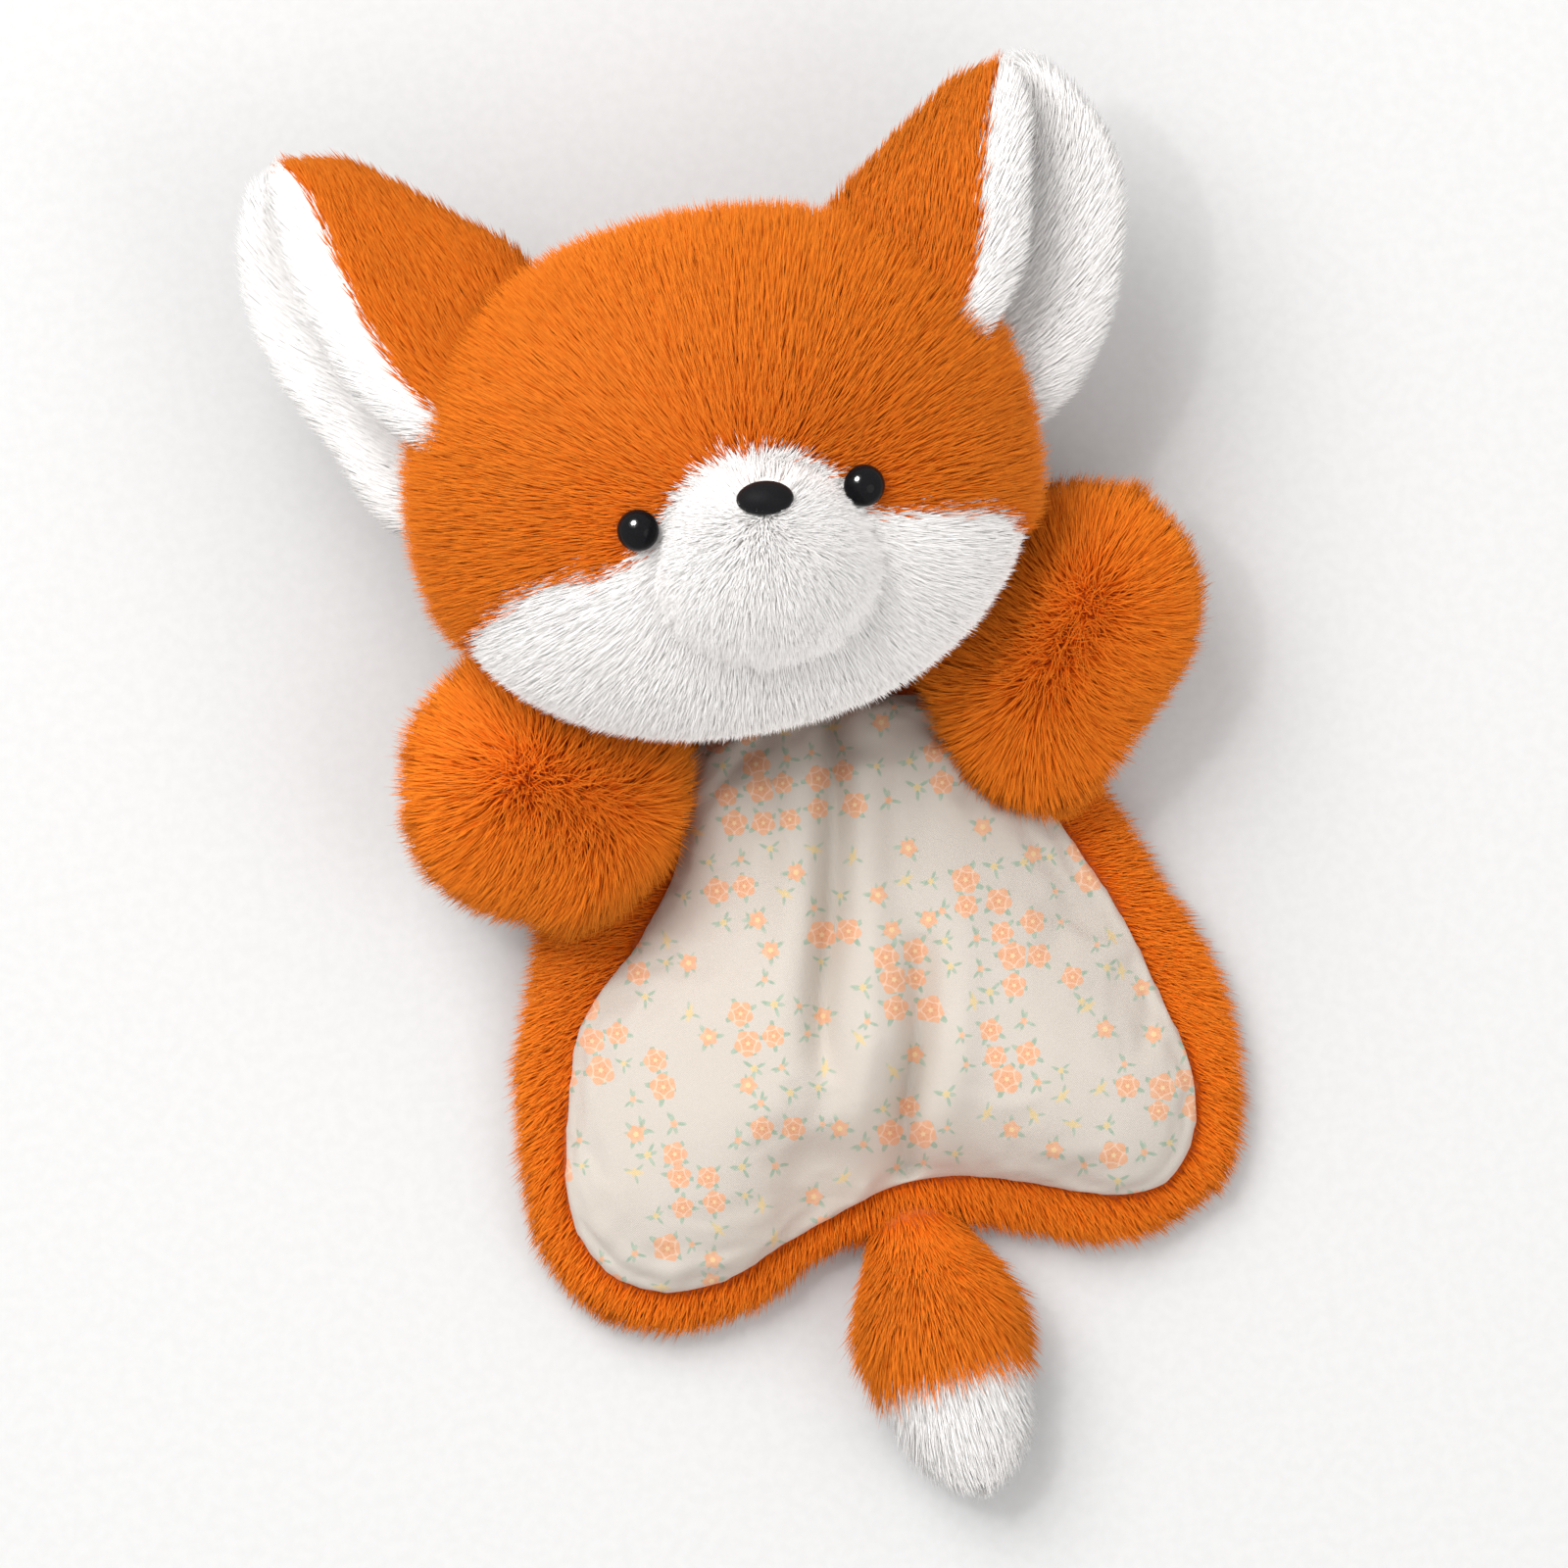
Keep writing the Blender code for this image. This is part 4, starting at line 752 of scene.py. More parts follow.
def pile_tree():
    """Nodes that plant strands on a backing, combed along it."""
    tree = bpy.data.node_groups.get("Pile")
    if tree is not None:
        return tree
    tree = bpy.data.node_groups.new("Pile", "GeometryNodeTree")
    for name, kind, default in PILE_INPUTS:
        made = tree.interface.new_socket(name=name, in_out="INPUT", socket_type="NodeSocket" + kind)
        if default is not None:
            made.default_value = default
    tree.interface.new_socket(name="Pile", in_out="OUTPUT", socket_type="NodeSocketGeometry")
    draft = Tree(tree)
    node, maths, vector, scaled = draft.node, draft.maths, draft.vector, draft.scaled

    def attribute(name, kind="FLOAT"):
        return node("GeometryNodeInputNamedAttribute", {"Name": name}, data_type=kind).outputs["Attribute"]

    def stored(geometry, name, value, kind, domain):
        inputs = {"Geometry": geometry, "Name": name, "Value": value}
        return node("GeometryNodeStoreNamedAttribute", inputs, data_type=kind, domain=domain).outputs[0]

    def random(low, high, shift):
        limits = {2: low, 3: high, "Seed": maths("ADD", seed, shift)}
        return node("FunctionNodeRandomValue", limits, data_type="FLOAT").outputs[1]

    def swirl(scale, detail):
        """Soft random direction at a place."""
        return vector("SUBTRACT", draft.noise(place, scale, detail, "Color"), (0.5, 0.5, 0.5))

    given = node("NodeGroupInput").outputs
    seed = given["Seed"]
    planted = node("GeometryNodeDistributePointsOnFaces", {
        "Mesh": given["Backing"], "Density": maths("MULTIPLY", given["Density"], attribute("cover")),
        "Seed": seed,
    }).outputs
    x, y, z = draft.parts(planted["Normal"])
    facing = draft.joined(x, y, maths("ADD", maths("MAXIMUM", z, 0.0), given["Uplight"]))
    points = stored(planted["Points"], "facing", vector("NORMALIZE", facing), "FLOAT_VECTOR", "POINT")
    comb = attribute("comb", "FLOAT_VECTOR")
    limits = {0: (-1.0, -1.0, -1.0), 1: (1.0, 1.0, 1.0), "Seed": maths("ADD", seed, 11.0)}
    stray = node("FunctionNodeRandomValue", limits, data_type="FLOAT_VECTOR").outputs[0]
    place = node("GeometryNodeInputPosition").outputs[0]
    upright = planted["Normal"]
    drift, lock = swirl(70.0, 1.0), swirl(420.0, 0.0)
    for way, amount in ((comb, "Lean"), (stray, "Stray"), (drift, "Drift"), (lock, "Lock")):
        upright = vector("ADD", upright, scaled(way, given[amount]))
    turned = node("FunctionNodeAlignRotationToVector", {"Vector": upright}, axis="Z").outputs[0]
    turned = node(
        "FunctionNodeAlignRotationToVector", {"Rotation": turned, "Vector": comb}, axis="X", pivot_axis="Z"
    ).outputs[0]
    length = maths("MULTIPLY", given["Length"], attribute("growth"))
    length = maths("MULTIPLY", random(0.72, 1.18, 23.0), length)
    single = node("GeometryNodeObjectInfo", {"Object": given["Strand"]}).outputs["Geometry"]
    strands = node("GeometryNodeInstanceOnPoints", {
        "Points": points, "Instance": single, "Rotation": turned,
        "Scale": draft.joined(given["Width"], given["Width"], length),
    }).outputs[0]
    patch = draft.noise(place, 95.0)
    tone = maths("ADD", maths("MULTIPLY", random(0.0, 1.0, 31.0), 0.55), maths("MULTIPLY", patch, 0.45))
    strands = stored(strands, "tone", tone, "FLOAT", "INSTANCE")
    real = node("GeometryNodeRealizeInstances", {"Geometry": strands}).outputs[0]
    x, y, z = draft.parts(place)
    above = draft.joined(x, y, maths("MAXIMUM", z, given["Floor"]))
    real = node("GeometryNodeSetPosition", {"Geometry": real, "Position": above}).outputs[0]
    own = node("GeometryNodeInputNormal").outputs[0]
    facing = attribute("facing", "FLOAT_VECTOR")
    soft = node("ShaderNodeMix", {0: given["Softness"], 4: own, 5: facing}, data_type="VECTOR").outputs[1]
    real = node(
        "GeometryNodeSetMeshNormal", {"Mesh": real, "Custom Normal": vector("NORMALIZE", soft)},
        mode="FREE", domain="POINT",
    ).outputs[0]
    spot = draft.joined(attribute("tone"), attribute("along"), 0.0)
    real = stored(real, "OFBake", spot, "FLOAT2", "CORNER")
    real = node("GeometryNodeSetMaterial", {"Geometry": real, "Material": given["Material"]}).outputs[0]
    draft.put(node("NodeGroupOutput").inputs["Pile"], real)
    return tree


def grow(name, body, backing, comb, cover, length, material, lean, stray=0.30, density=1.0, growth=1.0,
         soft=0.85, width=1.0, wander=0.85):
    """Pile on a backing: where it grows, which way it is combed, and how long it is."""
    size = sizes()
    item = added(name, backing.data.copy())
    mark(item, "comb", comb, "FLOAT_VECTOR")
    mark(item, "cover", cover)
    mark(item, "growth", growth)
    single = strand()
    modifier = item.modifiers.new("Pile", "NODES")
    modifier.node_group = pile_tree()
    per_square_metre = 1e6
    share = 1.0
    values = {
        "Strand": single, "Length": length, "Width": size.strand_width * width, "Lean": lean, "Stray": stray,
        "Softness": soft, "Drift": 0.6 * wander, "Lock": 0.5 * wander, "Material": material,
        "Density": size.density * density * share * per_square_metre,
        "Seed": size.seed + len(name) * 17 + sum(map(ord, name)),
    }
    for socket in modifier.node_group.interface.items_tree:
        if socket.in_out == "INPUT" and socket.name in values:
            modifier[socket.identifier] = values[socket.name]
    apply_modifiers(item)
    item.data.name = name
    for spare in ("along", "tone", "comb", "cover", "growth", "white", "facing"):
        if item.data.attributes.get(spare):
            item.data.attributes.remove(item.data.attributes[spare])
    item.data.shade_smooth()
    bpy.data.objects.remove(single)
    settle(item, body, "white_plush" if material == white_pile() else "orange_plush")


def settle(item, body, slot, *nodes):
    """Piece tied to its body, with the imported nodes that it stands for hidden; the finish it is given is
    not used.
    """
    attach(item, body)
    if nodes:
        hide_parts(*nodes)
    return item


# Head


def oval_reach(turn, inset):
    wide = np.abs(np.cos(turn)) / (HEAD_HALF.x - inset)
    tall = np.abs(np.sin(turn)) / (HEAD_HALF.y - inset)
    return (wide**HEAD_SQUARENESS + tall**HEAD_SQUARENESS) ** (-1.0 / HEAD_SQUARENESS)


def head_height(x, y, inset=0.0):
    """Level of the plain face at a place seen from the front."""
    across, along = x - HEAD_MIDDLE.x, y - HEAD_MIDDLE.y
    share = np.hypot(across, along) / oval_reach(np.arctan2(along, across), inset)
    return HEAD_MIDDLE.z + (HEAD_HALF.z - inset) * np.sqrt(np.maximum(0.0, 1.0 - share**2))


def muzzle_share(x, y, inset=0.0):
    """How far out a place lies on the muzzle's oval."""
    across = (x - MUZZLE_MIDDLE.x) / (MUZZLE_HALF.x - inset)
    along = (y - MUZZLE_MIDDLE.y) / (MUZZLE_HALF.y - inset)
    return np.hypot(across, along)


def muzzle_height(x, y, inset=0.0):
    share = muzzle_share(x, y, inset)
    dome = (MUZZLE_HALF.z - inset) * np.sqrt(np.maximum(0.0, 1.0 - share**2))
    return np.where(share < 1.0, MUZZLE_MIDDLE.z + dome, 0.0)


def face_height(x, y, inset=0.0):
    """Face and muzzle, run softly into one another but for a crease at one side."""
    head, muzzle = head_height(x, y, inset), muzzle_height(x, y, inset)
    bearing = np.degrees(np.arctan2(y - MUZZLE_MIDDLE.y, x - MUZZLE_MIDDLE.x))
    blend = np.interp(bearing, *np.transpose(MUZZLE_BLEND), period=360.0)
    share = np.clip(0.5 + 0.5 * (muzzle - head) / blend, 0.0, 1.0)
    return muzzle * share + head * (1.0 - share) + blend * share * (1.0 - share)


def edge_distance(places, outline):
    """Distance inside an outline, negative outside it."""
    start, end = outline, np.roll(outline, -1, axis=0)
    best = np.full(len(places), 1.0)
    inside = np.zeros(len(places), bool)
    for a, b in zip(start, end):
        way = b - a
        share = np.clip(((places - a) @ way) / (way @ way), 0.0, 1.0)
        best = np.minimum(best, np.linalg.norm(places - (a + share[:, None] * way), axis=1))
        crosses = (a[1] > places[:, 1]) != (b[1] > places[:, 1])
        if b[1] != a[1]:
            inside ^= crosses & (places[:, 0] < (b[0] - a[0]) * (places[:, 1] - a[1]) / (b[1] - a[1]) + a[0])
    return np.where(inside, best, -best)


def bead_seat(height, x, y):
    """Point on the face and its outward direction."""
    step = 0.0005
    slope_x = (height(x + step, y) - height(x - step, y)) / (2 * step)
    slope_y = (height(x, y + step) - height(x, y - step)) / (2 * step)
    return Vector((x, y, float(height(x, y)))), Vector((-float(slope_x), -float(slope_y), 1.0)).normalized()


class FOX_OT_head(bpy.types.Operator):
    """Round head with its muzzle, orange above and white below"""

    bl_idname = "fox.head"
    bl_label = "Head"

    def execute(self, context):
        size = sizes()
        inset = size.pile_rise
        turn, lean = globe(144, 76)
        reach = oval_reach(turn, inset) * np.sin(lean)
        x, y = HEAD_MIDDLE.x + reach * np.cos(turn), HEAD_MIDDLE.y + reach * np.sin(turn)
        back = HEAD_MIDDLE.z + (HEAD_MIDDLE.z - inset / 2) * np.cos(lean)
        z = np.where(np.cos(lean) > 0.0, face_height(x, y, inset), np.maximum(back, FLOOR_GAP))
        top = (*FACE_MIDDLE, float(face_height(*FACE_MIDDLE, inset)))
        head = closed_rings("head_backing", np.stack((x, y, z), axis=-1), top, (*FACE_MIDDLE, FLOOR_GAP))
        points, normals = places_of(head), normals_of(head)
        front = points[:, 2] > HEAD_MIDDLE.z - 0.001
        cheeks = smooth_loop(CHEEK_SHARES, HEAD_HALF.x, HEAD_HALF.y) + FACE_MIDDLE
        inside = edge_distance(points[:, :2], cheeks)
        crescent = ease(inside, -0.0012, 0.0012) * ease(points[:, 2], CHEEK_BACK - 0.001, CHEEK_BACK + 0.001)
        out = muzzle_share(points[:, 0], points[:, 1])
        dome = ease(0.97 - out, -0.03, 0.03) * front
        white = np.maximum(crescent, dome)
        ball = ease(1.0 - out, -0.22, 0.22) * front
        mark(head, "white", white)

        nose = FACE_MIDDLE + NOSE_PLACE
        eyes = [FACE_MIDDLE + place for place in EYE_PLACES.values()]
        to_eye = np.min([np.linalg.norm(points[:, :2] - eye, axis=1) for eye in eyes], axis=0)
        to_nose = np.linalg.norm((points[:, :2] - nose) / (1.0, NOSE_HALF[1] / NOSE_HALF[0]), axis=1)
        bare = ease(to_eye, EYE_RADIUS * 0.7, EYE_RADIUS * 1.05)
        bare = np.where(front, bare * ease(to_nose, NOSE_HALF[0] * 0.8, NOSE_HALF[0] * 1.1), 1.0)
        growth = np.where(front, 0.40 + 0.60 * ease(to_eye, EYE_RADIUS, EYE_RADIUS * 4.5), 1.0)
        whorl = np.array([MUZZLE_MIDDLE.x, MUZZLE_MIDDLE.y + 0.004, MUZZLE_MIDDLE.z + 0.012])
        nose_root = np.array([nose[0], nose[1] + 0.003, MUZZLE_MIDDLE.z + MUZZLE_HALF.z - 0.003])
        near = ease(1.05 - out, -0.30, 0.30)[:, None]
        comb = lying(unit(points - nose_root) * near + unit(points - whorl) * (1.0 - near), normals)
        spread = np.linalg.norm((points[:, :2] - nose) / (HEAD_HALF.x, HEAD_HALF.y), axis=1)
        comb *= (0.45 + 0.55 * ease(spread, 0.15, 0.75))[:, None]

        settle(
            head, "head", "orange_plush",
            "head_cover", "cheek_cover", "muzzle_cover", "head_filling", "muzzle_filling",
        )
        head.data.materials.append(two_tone_backing("head_backing"))
        orange, snow = orange_pile(), white_pile()
        behind = ease(points[:, 2], HEAD_MIDDLE.z - 0.012, HEAD_MIDDLE.z - 0.010)
        plain = 1.0 - white
        for name, cover, length, finish, looks in (
            ("head_pile", plain * behind * bare, size.head_pile, orange, dict(lean=1.5, growth=growth)),
            ("head_back_pile", plain * (1.0 - behind), size.head_pile, orange, dict(lean=1.6, density=0.45)),
            ("cheek_pile", white * (1.0 - ball) * bare, size.face_pile, snow, dict(
                lean=2.1, density=1.68, growth=growth, soft=0.97, width=0.9, wander=0.7, stray=0.40,
            )),
            ("muzzle_pile", white * ball * bare, size.face_pile * 0.85, snow, dict(
                lean=1.5, density=2.5, growth=growth, soft=0.97, width=0.85, wander=0.8,
            )),
        ):
            grow(name, "head", head, comb, cover, length, finish, **looks)
        return {"FINISHED"}


class FOX_OT_beads(bpy.types.Operator):
    """Domed bead eyes and oval nose, each on a shank"""

    bl_idname = "fox.beads"
    bl_label = "Eyes and nose"

    def execute(self, context):
        gloss = bead_material("bead_gloss", colours().bead, 0.05, 0.09, 0.02)
        satin = bead_material("nose_satin", colours().bead, 0.42, 0.56, 0.35)
        seats = {name: (head_height, place, (EYE_RADIUS, EYE_RADIUS), EYE_DOME, 0.0018, gloss)
                 for name, place in EYE_PLACES.items()}
        seats["nose"] = (muzzle_height, NOSE_PLACE, NOSE_HALF, NOSE_DOME, 0.0014, satin)
        around = circle(56)
        edge = 0.0009
        for name, (height, place, (half_x, half_y), dome, sink, finish) in seats.items():
            point, direction = bead_seat(height, *(FACE_MIDDLE + place))
            turn = np.array(direction.to_track_quat("Z", "Y").to_matrix())
            shank, roll, seat = SHANK_RADIUS / half_x, edge / half_x, np.array(point)
            profile = [
                *((math.sin(a), dome * math.cos(a) - sink) for a in np.linspace(0.0, math.pi / 2, 14)[1:]),
                *((1.0 - roll * (1 - math.cos(a)), -sink - edge * math.sin(a)) for a in (0.5, 1.0, 1.5)),
                (shank * 1.3, -sink - edge), (shank, -sink - edge * 1.4), (shank, -sink - SHANK_LENGTH),
            ]
            oval = np.stack((half_x * np.cos(around), half_y * np.sin(around), around * 0.0), axis=-1)
            rings = [(oval * share + (0.0, 0.0, level)) @ turn.T + seat for share, level in profile]
            start = point + direction * (dome - sink)
            bead = closed_rings(name + "_bead", rings, start, point - direction * (sink + SHANK_LENGTH))
            if name in EYE_PLACES:
                glint_group().objects.link(bead)
            bead.data.materials.append(finish)
            settle(bead, "head", "black_plastic", name)
        washer = bead_material("washer_plastic", (0.62, 0.62, 0.60, 1.0), 0.35, 0.5, 0.2)
        for name in ("eye_washer_left", "eye_washer_right", "nose_washer"):
            materials = frame["nodes"][name].data.materials
            materials.clear()
            materials.append(washer)
        return {"FINISHED"}


# Ears


def ear_rows(shares, side):
    """Middle surface of an ear from its tip to its root, and how far round it each column lies.

    A column runs from the rolled lip over the front rim and round the fold to the outer rim. On the lip that
    number is below 0.
    """
    count, steps = 34, 25
    rows = along_rows(shares, count)
    down = np.linspace(0.0, 1.0, count)
    way = np.minimum(1.0, 0.4 + 1.6 * down * (len(shares) - 1) / len(shares))

    def place(column, level):
        x = HEAD_MIDDLE.x + side * rows[:, column] * EAR_REACH
        y = HEAD_MIDDLE.y + rows[:, column + 1] * EAR_RISE
        return np.stack((x, y, EAR_TIP_LEVEL + (level - EAR_TIP_LEVEL) * way), axis=-1)

    fold, front, rim = place(0, EAR_FOLD_LEVEL), place(2, EAR_FRONT_LEVEL), place(4, EAR_SIDE_LEVEL)
    pull = 2 * fold - (front + rim) / 2
    t = np.linspace(0.0, 1.0, steps)[None, :, None]
    sheet = front[:, None] * (1 - t) ** 2 + pull[:, None] * (2 * t * (1 - t)) + rim[:, None] * t**2
    sheet[:, :, 2] -= 4 * t[:, :, 0] * (1 - t[:, :, 0]) * EAR_BULGE * way[:, None]
    across = (rim - front) * FLAT
    reach = np.minimum(EAR_LIP, 0.4 * np.linalg.norm(across, axis=1))
    reach = reach * np.interp(down, (0.0, 0.6, 1.0), (1.0, 1.0, 0.3))
    out = np.linspace(1.0, 0.0, EAR_LIP_COLUMNS, endpoint=False)[None, :]
    lip = front[:, None] + unit(across)[:, None] * (out * reach[:, None])[..., None]
    lip[:, :, 2] -= EAR_LIP_DROP * out**2 * (reach / EAR_LIP)[:, None]
    return np.concatenate((lip, sheet), axis=1), np.concatenate((-out[0], t[0, :, 0]))


def ear_backing(name, sheet, side, round_share):
    """Closed thick sheet, with which points are lining, how the pile runs, and how near a rim each lies."""
    rows, columns = sheet.shape[:2]
    down, over = np.gradient(sheet, axis=0), np.gradient(sheet, axis=1)
    normal = unit(np.cross(over, down)) * side
    to_rim = np.minimum(np.arange(columns), np.arange(columns)[::-1])[None, :] / columns
    to_tip = np.arange(rows)[:, None] / rows
    plump = 0.0010 + 0.0014 * np.exp(-(to_rim / 0.12) ** 2)
    plump = normal * (plump * ease(to_tip + 0.05, 0.0, 0.2))[..., None]
    points = np.concatenate(((sheet + plump).reshape(-1, 3), (sheet - plump).reshape(-1, 3)))
    size = rows * columns
    faces = []
    for i in range(rows - 1):
        for j in range(columns - 1):
            a = i * columns + j
            faces.append((a, a + 1, a + columns + 1, a + columns))
            faces.append((size + a, size + a + columns, size + a + columns + 1, size + a + 1))
    edge = [
        *range(columns), *range(2 * columns - 1, size, columns),
        *range(size - 2, size - columns - 1, -1), *range(size - 2 * columns, 0, -columns),
    ]
    faces += [(here, nxt, size + nxt, size + here) for here, nxt in zip(edge, edge[1:] + edge[:1])]
    item = solid(name, points, faces)
    wrapped = np.where((round_share < 0.0) | (round_share > EAR_WHITE_RIM), 1.0, 0.0)
    lining = np.concatenate((np.tile(wrapped, rows), np.ones(size)))
    rims = np.broadcast_to(np.exp(-(to_rim / 0.10) ** 2), (rows, columns)).ravel()
    aside = np.where(round_share[None, :, None] < 0.5, -unit(over), unit(over))
    upward = unit(-down) + aside * (0.5 * np.exp(-(to_rim / 0.2) ** 2))[..., None]
    comb = np.concatenate([unit(upward).reshape(-1, 3)] * 2)
    return item, lining, lying(comb, normals_of(item)), np.concatenate((rims, rims))


class FOX_OT_ears(bpy.types.Operator):
    """Cupped ears, orange outside and white inside"""

    bl_idname = "fox.ears"
    bl_label = "Ears"

    def execute(self, context):
        orange, snow = orange_pile(), white_pile()
        backing = two_tone_backing("ear_backing")
        for name, shares in EAR_SHARES.items():
            side = 1.0 if name == "ear_left" else -1.0
            sheet, round_share = ear_rows(shares, side)
            item, lining, comb, rims = ear_backing(name + "_backing", sheet, side, round_share)
            mark(item, "white", lining)
            item.data.materials.append(backing)
            settle(item, name, "orange_plush", name + "_outer", name + "_lining")
            pile = sizes().ear_pile
            grow(name + "_pile", name, item, comb, 1.0 - lining, pile * 1.15, orange, lean=1.6)
            grow(
                name + "_lining_pile", name, item, comb, lining, pile * 0.85, snow, lean=1.7, density=1.25,
                growth=0.75 + 0.45 * rims, soft=0.97, wander=0.8,
            )
        return {"FINISHED"}


# Limbs


def joint_place(name):
    """Point that a joint turns about."""
    return np.array(next(joint["pos_m"] for joint in frame["joints"] if joint["name"] == name))


def rooted(shares, start):
    """Rows of a limb with its root drawn in to a start along it."""
    first = shares[0][0]
    draw = (ROOT_END - start) / (ROOT_END - first)
    return [
        (start + (share - first) * draw if share < ROOT_END else share, *rest) for share, *rest in shares
    ]


def limb_backing(name, shares, floor):
    """Closed limb, with its line, where it starts, its length and how far along it each point lies."""
    heading, length, width, depth, rise = LIMBS[name]
    begin, sideways, sink, slant = LIMB_ROOTS[name]
    shares = rooted(shares, begin)
    pivot = joint_place(name + "_swing")
    heading, rise = math.radians(heading), math.radians(rise)
    inset = sizes().pile_rise
    line = np.array([math.cos(heading) * math.cos(rise), math.sin(heading) * math.cos(rise), math.sin(rise)])
    across = np.array([-math.sin(heading), math.cos(heading), 0.0])
    up = np.cross(line, across)
    stations = along_rows(shares, 40)
    turns = circle(56)
    reach = length - inset
    rings = []
    for share, wide, tall in stations:
        root = 1.0 - float(ease(share, begin, 2 * ROOT_END))
        middle = pivot + line * share * reach + across * sideways * root - np.array((0.0, 0.0, sink * root))
        half_width, half_depth = max(wide * width - inset, 0.001), max(tall * depth - inset, 0.001)
        ring = middle + (across + line * slant * root) * (half_width * np.cos(turns))[:, None]
        rings.append(ring + up * (half_depth * np.sin(turns))[:, None])
    rings = np.array(rings)
    start = pivot + line * (begin - 0.03) * reach + across * sideways - (0.0, 0.0, sink)
    if name.startswith("arm"):
        rings = head_clear(rings.reshape(-1, 3), inset / 2).reshape(rings.shape)
    rings[:, :, 2] = np.maximum(rings[:, :, 2], floor)
    item = closed_rings(name + "_backing", rings, start, pivot + line * reach)
    return item, line, pivot, reach, ((places_of(item) - pivot) @ line) / reach


class FOX_OT_arms(bpy.types.Operator):
    """Stuffed mitten arms"""

    bl_idname = "fox.arms"
    bl_label = "Arms"

    def execute(self, context):
        orange = body_pile()
        backing = orange_backing()
        for name in ("arm_left", "arm_right"):
            item, line, pivot, reach, share = limb_backing(name, ARM_SHARES[name], BORDER_HEIGHT + FLOOR_GAP)
            item.data.materials.append(backing)
            away = (places_of(item) - (pivot + np.clip(share, 0.30, 0.60)[:, None] * line * reach)) * FLAT
            comb = lying(line * 0.35 + unit(away), normals_of(item))
            comb = comb * ease(np.linalg.norm(away, axis=1), 0.0, 0.014)[:, None]
            settle(item, name, "orange_plush", name + "_cover", name + "_filling")
            pile = sizes().body_pile
            grow(name + "_pile", name, item, comb, 1.0, pile, orange, lean=1.3, density=1.1, stray=0.40)
        return {"FINISHED"}


class FOX_OT_tail(bpy.types.Operator):
    """Orange tail with a white tip"""

    bl_idname = "fox.tail"
    bl_label = "Tail"

    def execute(self, context):
        item, line, _, _, share = limb_backing("tail", TAIL_SHARES, FLOOR_GAP)
        normals = normals_of(item)
        white = ease(share, TAIL_TIP_SHARE - 0.02, TAIL_TIP_SHARE + 0.02)
        mark(item, "white", white)
        item.data.materials.append(two_tone_backing("tail_backing"))
        comb = lying(line + normals * 0.2, normals)
        settle(
            item, "tail", "orange_plush", "tail_cover", "tail_tip_cover", "tail_filling",
        )
        orange, snow = body_pile(), white_pile()
        cover = (1.0 - white) * ease(share, 0.0, 0.08)
        growth = 0.5 + 0.5 * ease(share, 0.05, 0.30)
        pile = sizes().tail_pile
        grow("tail_pile", "tail", item, comb, cover, pile, orange, lean=1.7, density=1.25, growth=growth)
        grow("tail_tip_pile", "tail", item, comb, white, pile * 0.8, snow, lean=1.9, density=1.6, soft=1.0)
        return {"FINISHED"}


# Body


def body_reaches(angles):
    """Reach of the body's border and of its panel in each direction from the body's middle."""
    half = (BODY_HALF_WIDTH, BODY_HALF_LENGTH)
    return [reaches(smooth_loop(shares, *half), angles) for shares in (BODY_SHARES, PANEL_SHARES)]


def ring_round(angles, reach, level):
    across, along = reach * np.cos(angles), BODY_MIDDLE_Y + reach * np.sin(angles)
    return np.stack((across, along, np.full(angles.shape, level)), axis=-1)


def from_middle(points):
    """Bearing and distance from the body's middle, seen from above."""
    x, y = points[:, 0], points[:, 1] - BODY_MIDDLE_Y
    return np.arctan2(y, x), np.hypot(x, y)


def crease_depth(places):
    """Depth of the cotton's soft creases."""
    depth = np.zeros(len(places))
    for half_width, drop, path in CREASES:
        nearest, at = np.ones(len(places)), np.zeros(len(places))
        for index, knot in enumerate(along_rows(path, CREASE_KNOTS)):
            gap = np.hypot(*(places - knot).T)
            at = np.where(gap < nearest, index / (CREASE_KNOTS - 1), at)
            nearest = np.minimum(nearest, gap)
        fade = np.sin(np.clip(at, 0.02, 0.98) * math.pi) ** 0.5
        ridge = np.exp(-((nearest - 2.2 * half_width) / half_width) ** 2)
        depth += drop * fade * (np.exp(-(nearest / half_width) ** 2) - 0.35 * ridge)
    return depth


def puffed(item, pressure, pinned, cap):
    """Blows a closed piece up as cloth for a moment, and keeps each point within a cap of its start."""
    scene = bpy.context.scene
    start = places_of(item)
    item.vertex_groups.new(name="seam").add([int(i) for i in np.nonzero(pinned)[0]], 1.0, "REPLACE")
    cloth = item.modifiers.new("Cloth", "CLOTH")
    for key, value in CLOTH.items():
        setattr(cloth.settings, key, value)
    cloth.settings.uniform_pressure_force = pressure
    cloth.settings.effector_weights.gravity = 0.0
    cloth.point_cache.frame_start = 1
    cloth.point_cache.frame_end = CLOTH_FRAMES
    for moment in range(1, CLOTH_FRAMES + 1):
        scene.frame_set(moment)
    moved = places_of(item.evaluated_get(bpy.context.evaluated_depsgraph_get())) - start
    item.modifiers.remove(cloth)
    item.vertex_groups.clear()
    scene.frame_set(1)
    far = np.linalg.norm(moved, axis=1, keepdims=True)
    move(item, start + moved * np.minimum(1.0, cap / np.maximum(far, 1e-9)))


